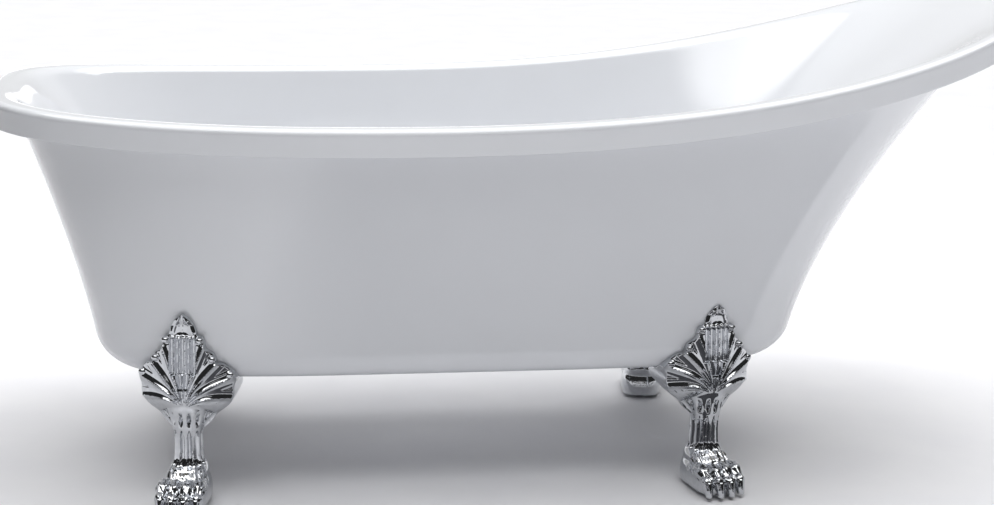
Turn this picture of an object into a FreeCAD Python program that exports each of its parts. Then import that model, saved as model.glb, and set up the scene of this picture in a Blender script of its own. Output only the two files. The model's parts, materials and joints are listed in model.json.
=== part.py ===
import FreeCAD, Part
import math
import os

# A double-walled slipper bathtub on four cast claw feet, in millimetres, +Z up.
# The origin is on the floor, under the middle of the rim. +X points to the high
# (slipper) end, and -Y is the front. The tub is its own mirror image in the XZ plane.

Vector = FreeCAD.Vector
UP = Vector(0, 0, 1)

# ---------------------------------------------------------------- rim
RIM_LENGTH = 1700.0
RIM_WIDTH = 742.0           # across the rim's mean outline
RIM_EXPONENT = 3.6          # squareness of the rim's plan outline
EGG_SHARE = 0.05            # how much wider the high end is than the low end
RIM_LOW_HEIGHT = 622.0      # top of the rim at its lowest place
RIM_LOW_PLACE = -318.0      # where along X the rim is lowest
FOOT_END_RISE = 20.0        # rise of the rim towards the low (foot) end
HEAD_END_RISE = 178.0       # rise of the rim towards the slipper end
HEAD_RISE_CURVE = 2.65      # power of the slipper's sweep
BAND_HEIGHT = 42.5          # height of the rim's outer band
BAND_WALL = 6.0             # wall of the band and of the rim's flat top
RIM_FLAT_FOOT = 35.0        # flat top of the rim at the low end
RIM_FLAT_HEAD = 14.0        # flat top at the slipper end
RIM_FLAT_SIDE = 38.0        # flat top at the sides
RIM_OUTER_ROUND = 11.0      # rounding between flat top and band
RIM_INNER_ROUND = 12.0      # rounding between flat top and bowl
HALF_LENGTH = RIM_LENGTH / 2
HALF_WIDTH = RIM_WIDTH / 2

# ---------------------------------------------------------------- outer skirt
BELLY_HEIGHT = 192.0        # underside of the skirt over the floor
SKIRT_WALL = 4.0
SKIRT_CORNER = 60.0         # radius between the skirt's bottom and its walls
SKIRT_BELLY_EXPONENT = 4.5
SKIRT_FOOT_INSET = 48.0     # at the band's lower edge, this far inside the rim's low end
SKIRT_HEAD_INSET = 70.0     # the same at the slipper end
SKIRT_SIDE_INSET = 26.0     # the same at the sides
SKIRT_FOOT_DRAW = 116.0     # how much further in the wall line is at the belly, low end
SKIRT_HEAD_DRAW = 310.0
SKIRT_SIDE_DRAW = 90.0
SKIRT_FOOT_CURVE = 1.36
SKIRT_HEAD_CURVE = 1.58
SKIRT_SIDE_CURVE = 1.2
SKIRT_FOOT_TOP = HALF_LENGTH - SKIRT_FOOT_INSET
SKIRT_HEAD_TOP = HALF_LENGTH - SKIRT_HEAD_INSET
SKIRT_HALF_TOP = HALF_WIDTH - SKIRT_SIDE_INSET
SKIRT_FOOT_BELLY = SKIRT_FOOT_TOP - SKIRT_FOOT_DRAW
SKIRT_HEAD_BELLY = SKIRT_HEAD_TOP - SKIRT_HEAD_DRAW
SKIRT_HALF_BELLY = SKIRT_HALF_TOP - SKIRT_SIDE_DRAW

# ---------------------------------------------------------------- basin
BASIN_FLOOR_RISE = 50.0     # the bowl's floor over the skirt's underside
BOWL_WALL = 7.0             # wall of the bowl, measured level
BOWL_CORNER = 80.0          # radius between the bowl's floor and its walls
BOWL_FLOOR_EXPONENT = 3.0
BOWL_FOOT_SPACE = 66.0      # from the skirt's wall line in to the bowl's, at their bottoms, low end
BOWL_HEAD_SPACE = 40.0
BOWL_SIDE_SPACE = 30.0
BOWL_FOOT_CURVE = 2.0
BOWL_HEAD_CURVE = 2.2
BOWL_SIDE_CURVE = 1.5
BASIN_FLOOR_HEIGHT = BELLY_HEIGHT + BASIN_FLOOR_RISE
BOWL_FOOT_TOP = HALF_LENGTH - RIM_FLAT_FOOT
BOWL_HEAD_TOP = HALF_LENGTH - RIM_FLAT_HEAD
BOWL_HALF_TOP = HALF_WIDTH - RIM_FLAT_SIDE
BOWL_FOOT_FLOOR = SKIRT_FOOT_BELLY - BOWL_FOOT_SPACE
BOWL_HEAD_FLOOR = SKIRT_HEAD_BELLY - BOWL_HEAD_SPACE
BOWL_HALF_FLOOR = SKIRT_HALF_BELLY - BOWL_SIDE_SPACE

# ---------------------------------------------------------------- waste's place
WASTE_PLACE = 117.0         # from the end of the bowl's floor
WASTE_X = WASTE_PLACE - BOWL_FOOT_FLOOR
SERVICE_LENGTH = 160.0      # opening under the waste
SERVICE_WIDTH = 130.0
SERVICE_ROUND = 20.0

# ---------------------------------------------------------------- inner structure
SEAT_GAP = 0.3              # glue line or seating gap between curved faces
FIT_CLEARANCE = 0.05        # radial clearance of a thread or of a turned fit
STIFFENER_DEPTH = 25.0      # underside of the rim stiffener, below the rim's top
STIFFENER_INSET = 5.0       # stands this far inside the band
STIFFENER_BACK_GAP = 2.0    # clear of the bowl's back
BOARD_THICK = 16.0
BOARD_EDGE = 8.0            # the board stops this far inside the flat of the floor
WASTE_ROOM = 63.0           # the board stops this far from the waste
RUNNER_WIDTH = 40.0
RUNNER_OFFSET = 90.0
RUNNER_BACK = 10.0          # the runners stop this far inside the board

# ---------------------------------------------------------------- feet
FOOT_LOW_PLACE = 145.0      # the legs' axis in from the belly's low end
FOOT_HIGH_PLACE = 165.0     # in from the belly's slipper end
FOOT_SIDE_PLACE = 20.0      # in from the belly's side
FOOT_LOW_X = FOOT_LOW_PLACE - SKIRT_FOOT_BELLY
FOOT_HIGH_X = SKIRT_HEAD_BELLY - FOOT_HIGH_PLACE
FOOT_Y = SKIRT_HALF_BELLY - FOOT_SIDE_PLACE
FOOT_SPLAY = 12.0           # degrees that each foot turns towards its end
PAW_BASE = 6.5              # underside of the paw over the floor
CREST_TIP = 122.0           # top of the leaf over the belly's height
CREST_ROOT = -80.0          # where the leaf's lowest edge runs into the leg, over the belly's height
CREST_SWEEP = 0.0058        # how fast the leaf's sides fall back, per mm
CREST_WING = 14.0           # thickness of the leaf's wings
CREST_SEAT_DEPTH = 70.0     # the leaf's blank reaches this deep, into the skirt
CREST_REACH = 90.0          # half width of the leaf's blank
ANKLE_HEIGHT = 52.0         # the leg's lowest section over the floor
TONGUE_THICK = 12.0
TONGUE_REACH = 118.0        # the mounting tongue's reach under the belly
TONGUE_HALF_WIDTH = 38.0
TOE_PITCH = 19.0
TOE_COUNT = 4

# ---------------------------------------------------------------- foot fixings
PLATE_LENGTH = 70.0
PLATE_WIDTH = 40.0
PLATE_THICK = 5.0
BOLT_PLACE = 96.0           # bolts this far behind the leg's axis
BOLT_SPACING = 44.0
BOLT_RADIUS = 4.0
BOLT_HOLE_CLEARANCE = 0.5
HEX_HALF_FLATS = 6.5
BOLT_HEAD_HEIGHT = 5.3
NUT_HEIGHT = 6.5
WASHER_RADIUS = 8.0
WASHER_THICK = 1.6
BOLT_STICK_OUT = 3.0        # thread beyond the nut

# ---------------------------------------------------------------- levellers
LEVELLER_PLACE = 34.0       # out from the leg's axis
LEVELLER_RADIUS = 5.0
LEVELLER_TRAVEL = 12.0
BUSH_RADIUS = 8.0
BUSH_LENGTH = 24.0
PAD_RADIUS = 17.0
PAD_SOCKET_DEPTH = 3.5
SCREW_TOP_SPACE = 2.0       # room over the screw's top in the paw
SCREW_SIDE_SPACE = 1.0      # room round it there

# ---------------------------------------------------------------- waste and plug
WASTE_FLANGE_RADIUS = 35.0
WASTE_FLANGE_THICK = 3.0
FLANGE_GASKET_THICK = 2.0
NECK_RADIUS = 21.0
NECK_BORE = 18.5
NECK_LENGTH = 36.0          # below the basin's floor
NECK_END_SPACE = 1.0
FLANGE_GASKET_INSET = 1.0   # the gasket's edge, inside the flange's
BASIN_HOLE_RADIUS = 23.0
WASTE_GASKET_THICK = 4.0
WASTE_COLLAR_RADIUS = 32.0
WASTE_COLLAR_THICK = 6.0
WASTE_BODY_RADIUS = 26.0
WASTE_BODY_HEIGHT = 53.0
WASTE_LEDGE_BORE = 17.5
TAIL_RADIUS = 20.0
TAIL_WALL = 2.5
TAIL_STEP = 1.0             # the pipe is smaller by this where it enters its socket
TAIL_SOCKET = 14.0
TAIL_FREE_LENGTH = 37.0     # below the nut
TAIL_NUT_LIP = 4.0
TAIL_NUT_WALL = 5.0
TAIL_WASHER_THICK = 2.0
SPIDER_DROP = 28.0          # top of the spider below the basin's floor
SPIDER_THICK = 5.0
SPIDER_RIB = 4.0
HUB_RADIUS = 8.5
BARREL_RADIUS = 6.0
BARREL_BORE = 4.1
BARREL_COLLAR = 8.0
BARREL_COLLAR_THICK = 3.0
BARREL_ABOVE = 10.0         # barrel above its collar
BARREL_BELOW = 8.0          # barrel below the spider
BARREL_END_WALL = 3.0
PLUG_TRAVEL = 8.0
PLUG_RADIUS = 29.0
PLUG_EDGE_THICK = 2.0
PLUG_DOME = 3.0
STEM_RADIUS = 4.0
STEM_IN_BARREL = 6.0        # held length with the plug up
SEAL_OUTER = 25.0
SEAL_INNER = 21.5
SEAL_THICK = 3.0
SEAL_GROOVE = 1.0
SPRING_COIL_RADIUS = 3.0
SPRING_WIRE_RADIUS = 0.5
SPRING_TURNS = 5

# ---------------------------------------------------------------- overflow
OVERFLOW_HEIGHT = 520.0
OVERFLOW_HOLE = 20.0
OVERFLOW_FACE_RADIUS = 30.0
OVERFLOW_FACE_THICK = 5.0
OVERFLOW_SLOT_WIDTH = 30.0
OVERFLOW_SLOT_HEIGHT = 5.0
OVERFLOW_SLOT_DROP = 12.0    # the slot below the face's middle
OVERFLOW_GASKET_THICK = 3.0
OVERFLOW_FLANGE_RADIUS = 27.0
OVERFLOW_FLANGE_THICK = 3.0
OVERFLOW_CHAMBER_RADIUS = 19.0
OVERFLOW_CHAMBER_LENGTH = 22.0
OVERFLOW_CHAMBER_WALL = 2.5
OVERFLOW_BAR = 7.0
OVERFLOW_SCREW_RADIUS = 2.5
OVERFLOW_SCREW_HEAD = 5.0
OVERFLOW_SCREW_LENGTH = 21.0
PIPE_RADIUS = 12.5
PIPE_WALL = 2.0
PIPE_BEND = 45.0
PIPE_IN_SOCKET = 16.0
SOCKET_WALL = 4.0
BRANCH_LENGTH = 60.0        # from the waste's axis
BRANCH_DROP = 17.0          # the branch below the waste body's top
PIPE_TOP_DROP = 40.0        # the falling pipe's top below the overflow
PIPE_STANDOFF = 28.0        # its axis there, out from the bowl's back
PIPE_CORNER_SPACE = 20.0    # its corner, out from the end of the bowl's floor
PIPE_NUT_LENGTH = 14.0
PIPE_NUT_WALL = 3.5
PIPE_NUT_LIP = 2.5

# ---------------------------------------------------------------- how finely curves are laid out
OUTLINE_POINTS = 48
CORNER_STEPS = 6
WALL_STEPS = 8
ROUND_STEPS = 4
MEETING_STEPS = 40          # steps that home in on where a wall meets the rim's underside
BEYOND = 80.0               # blanks and cutters run this far past what they cut


# ================================================================ plan outlines and profiles
def superellipse(angle, exponent):
    """A point of a superellipse of half axes 1, at a polar angle."""
    c = math.cos(angle)
    s = math.sin(angle)
    m = (abs(c) ** exponent + abs(s) ** exponent) ** (1 / exponent)
    return c / m, s / m


def rim_height(x):
    """Height of the rim's top at a place along the tub."""
    to_foot = max(0.0, (RIM_LOW_PLACE - x) / (RIM_LOW_PLACE + HALF_LENGTH))
    to_head = max(0.0, (x - RIM_LOW_PLACE) / (HALF_LENGTH - RIM_LOW_PLACE))
    return RIM_LOW_HEIGHT + FOOT_END_RISE * to_foot ** 2 + HEAD_END_RISE * to_head ** HEAD_RISE_CURVE


def rim_top(angle):
    """Height of the rim's top where the plan outline has this polar angle."""
    return rim_height(HALF_LENGTH * superellipse(angle, RIM_EXPONENT)[0])


def corner_inset(radius, rise):
    """How far a rounded bottom corner stands inside its wall line at this rise."""
    if rise >= radius:
        return 0.0
    return radius - math.sqrt(radius ** 2 - (radius - max(rise, 0.0)) ** 2)


def rim_point(angle, inset):
    c, s = superellipse(angle, RIM_EXPONENT)
    return (HALF_LENGTH - inset) * c, (HALF_WIDTH - inset) * s * (1 + EGG_SHARE * c)


def skirt_point(angle, z, inset):
    """A point of the skirt's outer face, moved in by inset, at height z."""
    share = max(0.0, z - BELLY_HEIGHT) / (rim_top(angle) - BAND_HEIGHT - BELLY_HEIGHT)
    exponent = SKIRT_BELLY_EXPONENT + (RIM_EXPONENT - SKIRT_BELLY_EXPONENT) * min(share, 1.0)
    c, s = superellipse(angle, exponent)
    foot = SKIRT_FOOT_BELLY + (SKIRT_FOOT_TOP - SKIRT_FOOT_BELLY) * share ** SKIRT_FOOT_CURVE
    head = SKIRT_HEAD_BELLY + (SKIRT_HEAD_TOP - SKIRT_HEAD_BELLY) * share ** SKIRT_HEAD_CURVE
    side = SKIRT_HALF_BELLY + (SKIRT_HALF_TOP - SKIRT_HALF_BELLY) * share ** SKIRT_SIDE_CURVE
    wall_in = max(inset, 0.0)
    drawn_in = inset + corner_inset(SKIRT_CORNER - wall_in, z - BELLY_HEIGHT - wall_in)
    x = (head - foot) / 2 + ((head + foot) / 2 - drawn_in) * c
    y = (side - drawn_in) * s * (1 + EGG_SHARE * min(share, 1.0) * c)
    return x, y


def bowl_point(angle, z, offset):
    """A point of the bowl's inner face, moved out by offset, at height z."""
    share = max(0.0, z - BASIN_FLOOR_HEIGHT) / (rim_top(angle) - BASIN_FLOOR_HEIGHT)
    exponent = BOWL_FLOOR_EXPONENT + (RIM_EXPONENT - BOWL_FLOOR_EXPONENT) * min(share, 1.0)
    c, s = superellipse(angle, exponent)
    foot = BOWL_FOOT_FLOOR + (BOWL_FOOT_TOP - BOWL_FOOT_FLOOR) * share ** BOWL_FOOT_CURVE
    head = BOWL_HEAD_FLOOR + (BOWL_HEAD_TOP - BOWL_HEAD_FLOOR) * share ** BOWL_HEAD_CURVE
    side = BOWL_HALF_FLOOR + (BOWL_HALF_TOP - BOWL_HALF_FLOOR) * share ** BOWL_SIDE_CURVE
    rise = z - BASIN_FLOOR_HEIGHT + min(offset, BOWL_WALL)
    drawn_in = corner_inset(BOWL_CORNER + min(offset, BOWL_WALL), rise) - offset
    x = (head - foot) / 2 + ((head + foot) / 2 - drawn_in) * c
    y = (side - drawn_in) * s * (1 + EGG_SHARE * min(share, 1.0) * c)
    return x, y


# ================================================================ solids from outlines
def closed_curve(points):
    curve = Part.BSplineCurve()
    curve.interpolate(Points=points, PeriodicFlag=True)
    return Part.Wire([curve.toShape()])


def outline_steps():
    """The distances along the rim's outline at which every curve round the tub is laid out."""
    places = [rim_point(2 * math.pi * i / OUTLINE_POINTS, 0.0) for i in range(OUTLINE_POINTS + 1)]
    steps = [0.0]
    for a, b in zip(places, places[1:]):
        steps.append(steps[-1] + math.dist(a, b))
    return steps


def round_the_tub(point_at):
    """The closed curve with point_at giving x, y and z at an angle."""
    points = [Vector(*point_at(2 * math.pi * i / OUTLINE_POINTS)) for i in range(OUTLINE_POINTS)]
    curve = Part.BSplineCurve()
    curve.interpolate(Points=points, PeriodicFlag=True, Parameters=outline_steps())
    return Part.Wire([curve.toShape()])


def outline_wire(point_at, z):
    """The closed outline at height z, with point_at giving x and y at an angle."""
    return round_the_tub(lambda angle: (*point_at(angle), z))


def outline_prism(point_at, low, high):
    face = Part.Face(outline_wire(point_at, low))
    return face.extrude(Vector(0, 0, high - low))


def rim_curve(inset, depth):
    """The curve round the rim that lies inset from its outline and depth under its top."""
    def place(angle):
        x, y = rim_point(angle, inset)
        return x, y, rim_height(x) - depth
    return round_the_tub(place)


def height_under_rim(point_at, angle, depth):
    """Height where a wall meets the surface at a depth under the rim's top."""
    z = rim_top(angle) - depth
    for _ in range(MEETING_STEPS):
        z = rim_height(point_at(angle, z)[0]) - depth
    return z


def meeting_curve(point_at, depth):
    """The curve round a wall where it meets the surface at a depth under the rim's top."""
    def place(angle):
        z = height_under_rim(point_at, angle, depth)
        return (*point_at(angle, z), z)
    return round_the_tub(place)


def corner_levels(bottom, corner):
    """Heights up a rounded bottom corner, closest together at its foot."""
    return [bottom + corner * (1 - math.cos(math.pi / 2 * i / CORNER_STEPS)) for i in range(CORNER_STEPS + 1)]


def wall_curves(point_at, bottom, corner, depth):
    """Curves up a wall: level ones in its bottom corner, then rising to a depth under the rim."""
    curves = [outline_wire(lambda angle: point_at(angle, z), z) for z in corner_levels(bottom, corner)]
    start = bottom + corner
    for i in range(1, WALL_STEPS + 1):
        def place(angle):
            top = height_under_rim(point_at, angle, depth)
            z = start + (top - start) * i / WALL_STEPS
            return (*point_at(angle, z), z)
        curves.append(round_the_tub(place))
    return curves


def skinned(chains, discs):
    """The solid whose faces run through chains of closed curves, closed by level discs."""
    faces = [Part.Face(wire) for wire in discs]
    for chain in chains:
        faces += Part.makeLoft(chain, False, len(chain) == 2).Faces
    shell = Part.makeShell(faces)
    shell.sewShape()
    return only_solid(Part.makeSolid(shell.Shells[0]))


def shell_loft(point_at, bottom, corner, top):
    """A solid lofted through level outlines, close together in the bottom corner."""
    levels = corner_levels(bottom, corner)
    start = bottom + corner
    levels += [start + (top - start) * i / WALL_STEPS for i in range(1, WALL_STEPS + 1)]
    wires = [outline_wire(lambda angle: point_at(angle, z), z) for z in levels]
    return Part.makeLoft(wires, True)


def open_curve(points):
    curve = Part.BSplineCurve()
    curve.interpolate(points)
    return curve.toShape()


def cylinder(radius, low, high, x=0.0, y=0.0):
    return Part.makeCylinder(radius, high - low, Vector(x, y, low), UP)


def ring(outer, inner, low, high, x=0.0, y=0.0):
    return cylinder(outer, low, high, x, y).cut(cylinder(inner, low, high, x, y))


def hexagon(half_flats, low, high, x=0.0, y=0.0, turn=0.0):
    corner = half_flats / math.cos(math.pi / 6)
    points = []
    for i in range(7):
        a = math.radians(turn) + math.pi / 3 * i
        points.append(Vector(x + corner * math.cos(a), y + corner * math.sin(a), low))
    return Part.Face(Part.makePolygon(points)).extrude(Vector(0, 0, high - low))


def fuse(shapes):
    return shapes[0].multiFuse(shapes[1:]).removeSplitter()


def only_solid(shape):
    return shape.Solids[0]


# ================================================================ basin, stiffener and skirt
TOP_OF_ALL = RIM_LOW_HEIGHT + HEAD_END_RISE + BEYOND


def bowl_solid(offset):
    """The space inside the bowl, with its face moved out by offset."""
    floor_drop = min(offset, BOWL_WALL)
    return shell_loft(
        lambda angle, z: bowl_point(angle, z, offset),
        BASIN_FLOOR_HEIGHT - floor_drop,
        BOWL_CORNER + floor_drop,
        TOP_OF_ALL,
    )


def quarter(radius):
    """Steps round a quarter circle, as (along the first side, along the second)."""
    turns = [math.pi / 2 * i / ROUND_STEPS for i in range(ROUND_STEPS + 1)]
    return [(radius * (1 - math.cos(turn)), radius * (1 - math.sin(turn))) for turn in turns]


def bowl_face(offset):
    return lambda angle, z: bowl_point(angle, z, offset)


def basin_skin():
    """The basin without its holes: bowl, rounded edge, flat top, rounded edge, band and back."""
    inside = wall_curves(bowl_face(0.0), BASIN_FLOOR_HEIGHT, BOWL_CORNER, RIM_INNER_ROUND)
    inner_round = [meeting_curve(bowl_face(out), depth) for out, depth in quarter(RIM_INNER_ROUND)]
    outer_round = [rim_curve(inset, depth) for depth, inset in quarter(RIM_OUTER_ROUND)]
    back_round = quarter(RIM_OUTER_ROUND - BAND_WALL)
    under_round = [rim_curve(BAND_WALL + inset, BAND_WALL + depth) for inset, depth in back_round]
    band_low = rim_curve(0.0, BAND_HEIGHT)
    band_low_back = rim_curve(BAND_WALL, BAND_HEIGHT)
    outside = wall_curves(
        bowl_face(BOWL_WALL),
        BASIN_FLOOR_HEIGHT - BOWL_WALL,
        BOWL_CORNER + BOWL_WALL,
        BAND_WALL,
    )
    inner_round[0] = inside[-1]
    chains = [
        inside,
        inner_round,
        [inner_round[-1], outer_round[0]],
        outer_round,
        [outer_round[-1], band_low],
        [band_low, band_low_back],
        [band_low_back, under_round[0]],
        under_round,
        [under_round[-1], outside[-1]],
        outside,
    ]
    return skinned(chains, [inside[0], outside[0]])


def make_basin():
    hole = cylinder(BASIN_HOLE_RADIUS, BASIN_FLOOR_HEIGHT - BEYOND, BASIN_FLOOR_HEIGHT + BEYOND, WASTE_X)
    overflow_hole = along_overflow(OVERFLOW_HOLE, -BEYOND / 2, BEYOND / 2)
    return only_solid(basin_skin().cut([hole, overflow_hole]))


def make_stiffener():
    """The ring under the rim's flat, a glue line below the flat and clear of the bowl's back."""
    inset = BAND_WALL + STIFFENER_INSET
    top = BAND_WALL + SEAT_GAP
    inner_face = bowl_face(BOWL_WALL + STIFFENER_BACK_GAP)
    outer = [rim_curve(inset, top), rim_curve(inset, STIFFENER_DEPTH)]
    inner = [meeting_curve(inner_face, top), meeting_curve(inner_face, STIFFENER_DEPTH)]
    return skinned([outer, inner, [outer[0], inner[0]], [outer[1], inner[1]]], [])


def rounded_block(length, width, rounding, low, high, x=0.0, y=0.0):
    box = Part.makeBox(length, width, high - low, Vector(x - length / 2, y - width / 2, low))
    uprights = [edge for edge in box.Edges if edge.BoundBox.ZLength > high - low - SEAT_GAP]
    return box.makeFillet(rounding, uprights)


def skirt_face(inset):
    return lambda angle, z: skirt_point(angle, z, inset)


def skirt_seat():
    """The space inside the skirt's outer face moved out by a seating gap, up past the rim."""
    outside = wall_curves(skirt_face(-SEAT_GAP), BELLY_HEIGHT, SKIRT_CORNER, STIFFENER_DEPTH)
    cap = outline_wire(lambda angle: rim_point(angle, 0.0), TOP_OF_ALL)
    return skinned([outside, [outside[-1], cap]], [outside[0], cap])


def make_skirt():
    """The skirt's wall and belly, up to the stiffener, with the waste's and the bolts' holes."""
    top = STIFFENER_DEPTH + SEAT_GAP
    outside = wall_curves(skirt_face(0.0), BELLY_HEIGHT, SKIRT_CORNER, top)
    inside = wall_curves(skirt_face(SKIRT_WALL), BELLY_HEIGHT + SKIRT_WALL, SKIRT_CORNER - SKIRT_WALL, top)
    shell = skinned([outside, [outside[-1], inside[-1]], inside], [outside[0], inside[0]])
    low = BELLY_HEIGHT - SKIRT_WALL
    high = BELLY_HEIGHT + 2 * SKIRT_WALL
    holes = [rounded_block(SERVICE_LENGTH, SERVICE_WIDTH, SERVICE_ROUND, low, high, WASTE_X)]
    for place in foot_places():
        for x, y in place.bolt_places():
            holes.append(cylinder(BOLT_RADIUS + BOLT_HOLE_CLEARANCE, low, high, x, y))
    return only_solid(shell.cut(holes))


def make_board():
    """The board under the floor, inside the flat that the bowl's corner leaves."""
    top = BASIN_FLOOR_HEIGHT - BOWL_WALL
    low = top - BOARD_THICK
    drawn_in = BOWL_CORNER + BOARD_EDGE

    def edge_point(angle):
        return bowl_point(angle, BASIN_FLOOR_HEIGHT + BOWL_CORNER, -drawn_in)

    flat = outline_prism(edge_point, low, top)
    waste_room = Part.makeBox(BEYOND * 5, RIM_WIDTH, BOARD_THICK,
                              Vector(WASTE_X + WASTE_ROOM - BEYOND * 5, -HALF_WIDTH, low))
    return only_solid(flat.cut(waste_room))


def make_runner(side):
    low = BELLY_HEIGHT + SKIRT_WALL
    high = BASIN_FLOOR_HEIGHT - BOWL_WALL - BOARD_THICK
    start = WASTE_X + WASTE_ROOM + RUNNER_BACK
    end = FOOT_HIGH_X - PLATE_LENGTH
    corner = Vector(start, side * RUNNER_OFFSET - RUNNER_WIDTH / 2, low)
    return Part.makeBox(end - start, RUNNER_WIDTH, high - low, corner)


# ================================================================ feet
# Half outline of the leaf, seen from outside: (out from the middle, over the belly's height).
CREST_HALF = [
    (13, 116), (20, 99), (27, 89), (37, 74), (41, 59), (51, 49),
    (56, 36), (68, 29), (78, 13), (71, -2), (70, -24), (49, -46), (33, -64),
]
# The leaf's front face in the middle: (over the belly's height, out from the leg's axis).
CREST_FRONT = [(-92, 22), (-62, 23), (-32, 27), (8, 34), (58, 33), (128, 27)]
# How thick the leaf's blank is: (over the belly's height, depth).
CREST_DEPTHS = [
    (-92, CREST_WING), (-62, CREST_WING), (-32, CREST_WING + 4), (-14, CREST_SEAT_DEPTH),
    (8, CREST_SEAT_DEPTH), (58, CREST_SEAT_DEPTH), (128, CREST_SEAT_DEPTH),
]
# Level sections from the ankle (0) to the belly (1): (place, half width, middle out from the axis, half depth).
LEG_SECTIONS = [
    (0, 30, 6, 33), (0.1, 27, 0, 27), (0.236, 23.5, -2, 23), (0.379, 22.5, -2, 22),
    (0.543, 25, -1, 23.5), (0.714, 32, -2, 28), (0.886, 37, -10, 38),
]
# Level sections: (over the floor, half width, middle out from the leg's axis, half depth).
PAW_SECTIONS = [
    (PAW_BASE, 36, 24, 56), (20, 37.5, 25, 56), (34, 36, 19, 48), (46, 31.5, 11, 38), (58, 28.5, 3, 30),
]
# Curled leaf ends: (side, over the belly's height, radius), seated in the leaf's front face.
CREST_CURLS = [(0, 105, 15), (30, 70, 9), (46, 45, 8.5), (66, 16, 9.5)]
CURL_SINK = 0.45            # share of a curl's radius that is sunk in the leaf
# Level sections of one toe with its claw: (over the floor, half width, middle out from the leg's axis, half depth).
TOE_SECTIONS = [
    (PAW_BASE, 5.5, 80, 9), (14, 7.5, 82, 12), (22, 8.6, 80, 12), (30, 9.2, 76, 13),
    (38, 9.6, 66, 14), (46, 9, 56, 12), (51, 6.5, 50, 8),
]
OUTER_TOE_SHORTER = 5.0
LEG_EXPONENT = 2.4
PAW_EXPONENT = 3.6


class FootPlace:
    """Where one foot stands: along X, front (-1) or rear (+1), and its splay."""

    def __init__(self, name, x, side):
        self.name = name
        self.x = x
        self.side = side
        self.turn = math.copysign(FOOT_SPLAY, x)

    def world(self, u, v):
        """Plan place of a point u to the side and v out from the leg's axis."""
        a = math.radians(self.turn)
        x = self.x + u * math.cos(a) + v * math.sin(a)
        y = -FOOT_Y + u * math.sin(a) - v * math.cos(a)
        return x, (y if self.side < 0 else -y)

    def bolt_places(self):
        return [self.world(s * BOLT_SPACING / 2, -BOLT_PLACE) for s in (-1, 1)]

    def placed(self, shape):
        """A shape drawn round the leg's axis, facing -Y, moved to this foot."""
        moved = shape.copy()
        moved.rotate(Vector(0, 0, 0), UP, self.turn)
        moved.translate(Vector(self.x, -FOOT_Y, 0))
        if self.side > 0:
            moved = moved.mirror(Vector(0, 0, 0), Vector(0, 1, 0))
        return moved


def foot_places():
    places = []
    for side, depth_name in ((-1, "front"), (1, "rear")):
        places.append(FootPlace(depth_name + "_low", FOOT_LOW_X, side))
        places.append(FootPlace(depth_name + "_high", FOOT_HIGH_X, side))
    return places


def crest_front(z):
    """How far out the leaf's front face stands in the middle, z over the belly's height."""
    for (z0, v0), (z1, v1) in zip(CREST_FRONT, CREST_FRONT[1:]):
        if z <= z1:
            share = (z - z0) / (z1 - z0)
            return v0 + (v1 - v0) * share * share * (3 - 2 * share)
    return CREST_FRONT[-1][1]


def crest_slab():
    """A slab with the leaf's bulging front face, falling back to both sides."""
    wires = []
    for z, depth in CREST_DEPTHS:
        front = []
        back = []
        for i in range(-3, 4):
            u = CREST_REACH * i / 3
            v = crest_front(z) - CREST_SWEEP * u * u
            front.append(Vector(u, -v, BELLY_HEIGHT + z))
            back.append(Vector(u, -v + depth, BELLY_HEIGHT + z))
        wires.append(Part.Wire([
            open_curve(front),
            Part.makeLine(front[-1], back[-1]),
            open_curve(back[::-1]),
            Part.makeLine(back[0], front[0]),
        ]))
    return Part.makeLoft(wires, True, True)


def crest_prism():
    half = [(0, CREST_TIP)] + CREST_HALF + [(0, CREST_ROOT)]
    around = half + [(-u, z) for u, z in CREST_HALF[::-1]]
    face = Part.Face(closed_curve([Vector(u, -BEYOND, BELLY_HEIGHT + z) for u, z in around]))
    return face.extrude(Vector(0, 2 * BEYOND, 0))


def level_section(z, half_width, middle, half_depth, exponent):
    """A closed level outline of the leg or the paw."""
    points = []
    for i in range(OUTLINE_POINTS // 2):
        c, s = superellipse(4 * math.pi * i / OUTLINE_POINTS, exponent)
        points.append(Vector(half_width * c, -middle + half_depth * s, z))
    return closed_curve(points)


def toes():
    """All the toes, the outer ones set a little back."""
    pattern = Part.makeLoft([level_section(*row, LEG_EXPONENT) for row in TOE_SECTIONS], True)
    row = []
    for index in range(TOE_COUNT):
        back = OUTER_TOE_SHORTER if index in (0, TOE_COUNT - 1) else 0.0
        toe = pattern.copy()
        toe.translate(Vector((index - (TOE_COUNT - 1) / 2) * TOE_PITCH, back, 0))
        row.append(toe)
    return row


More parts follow.
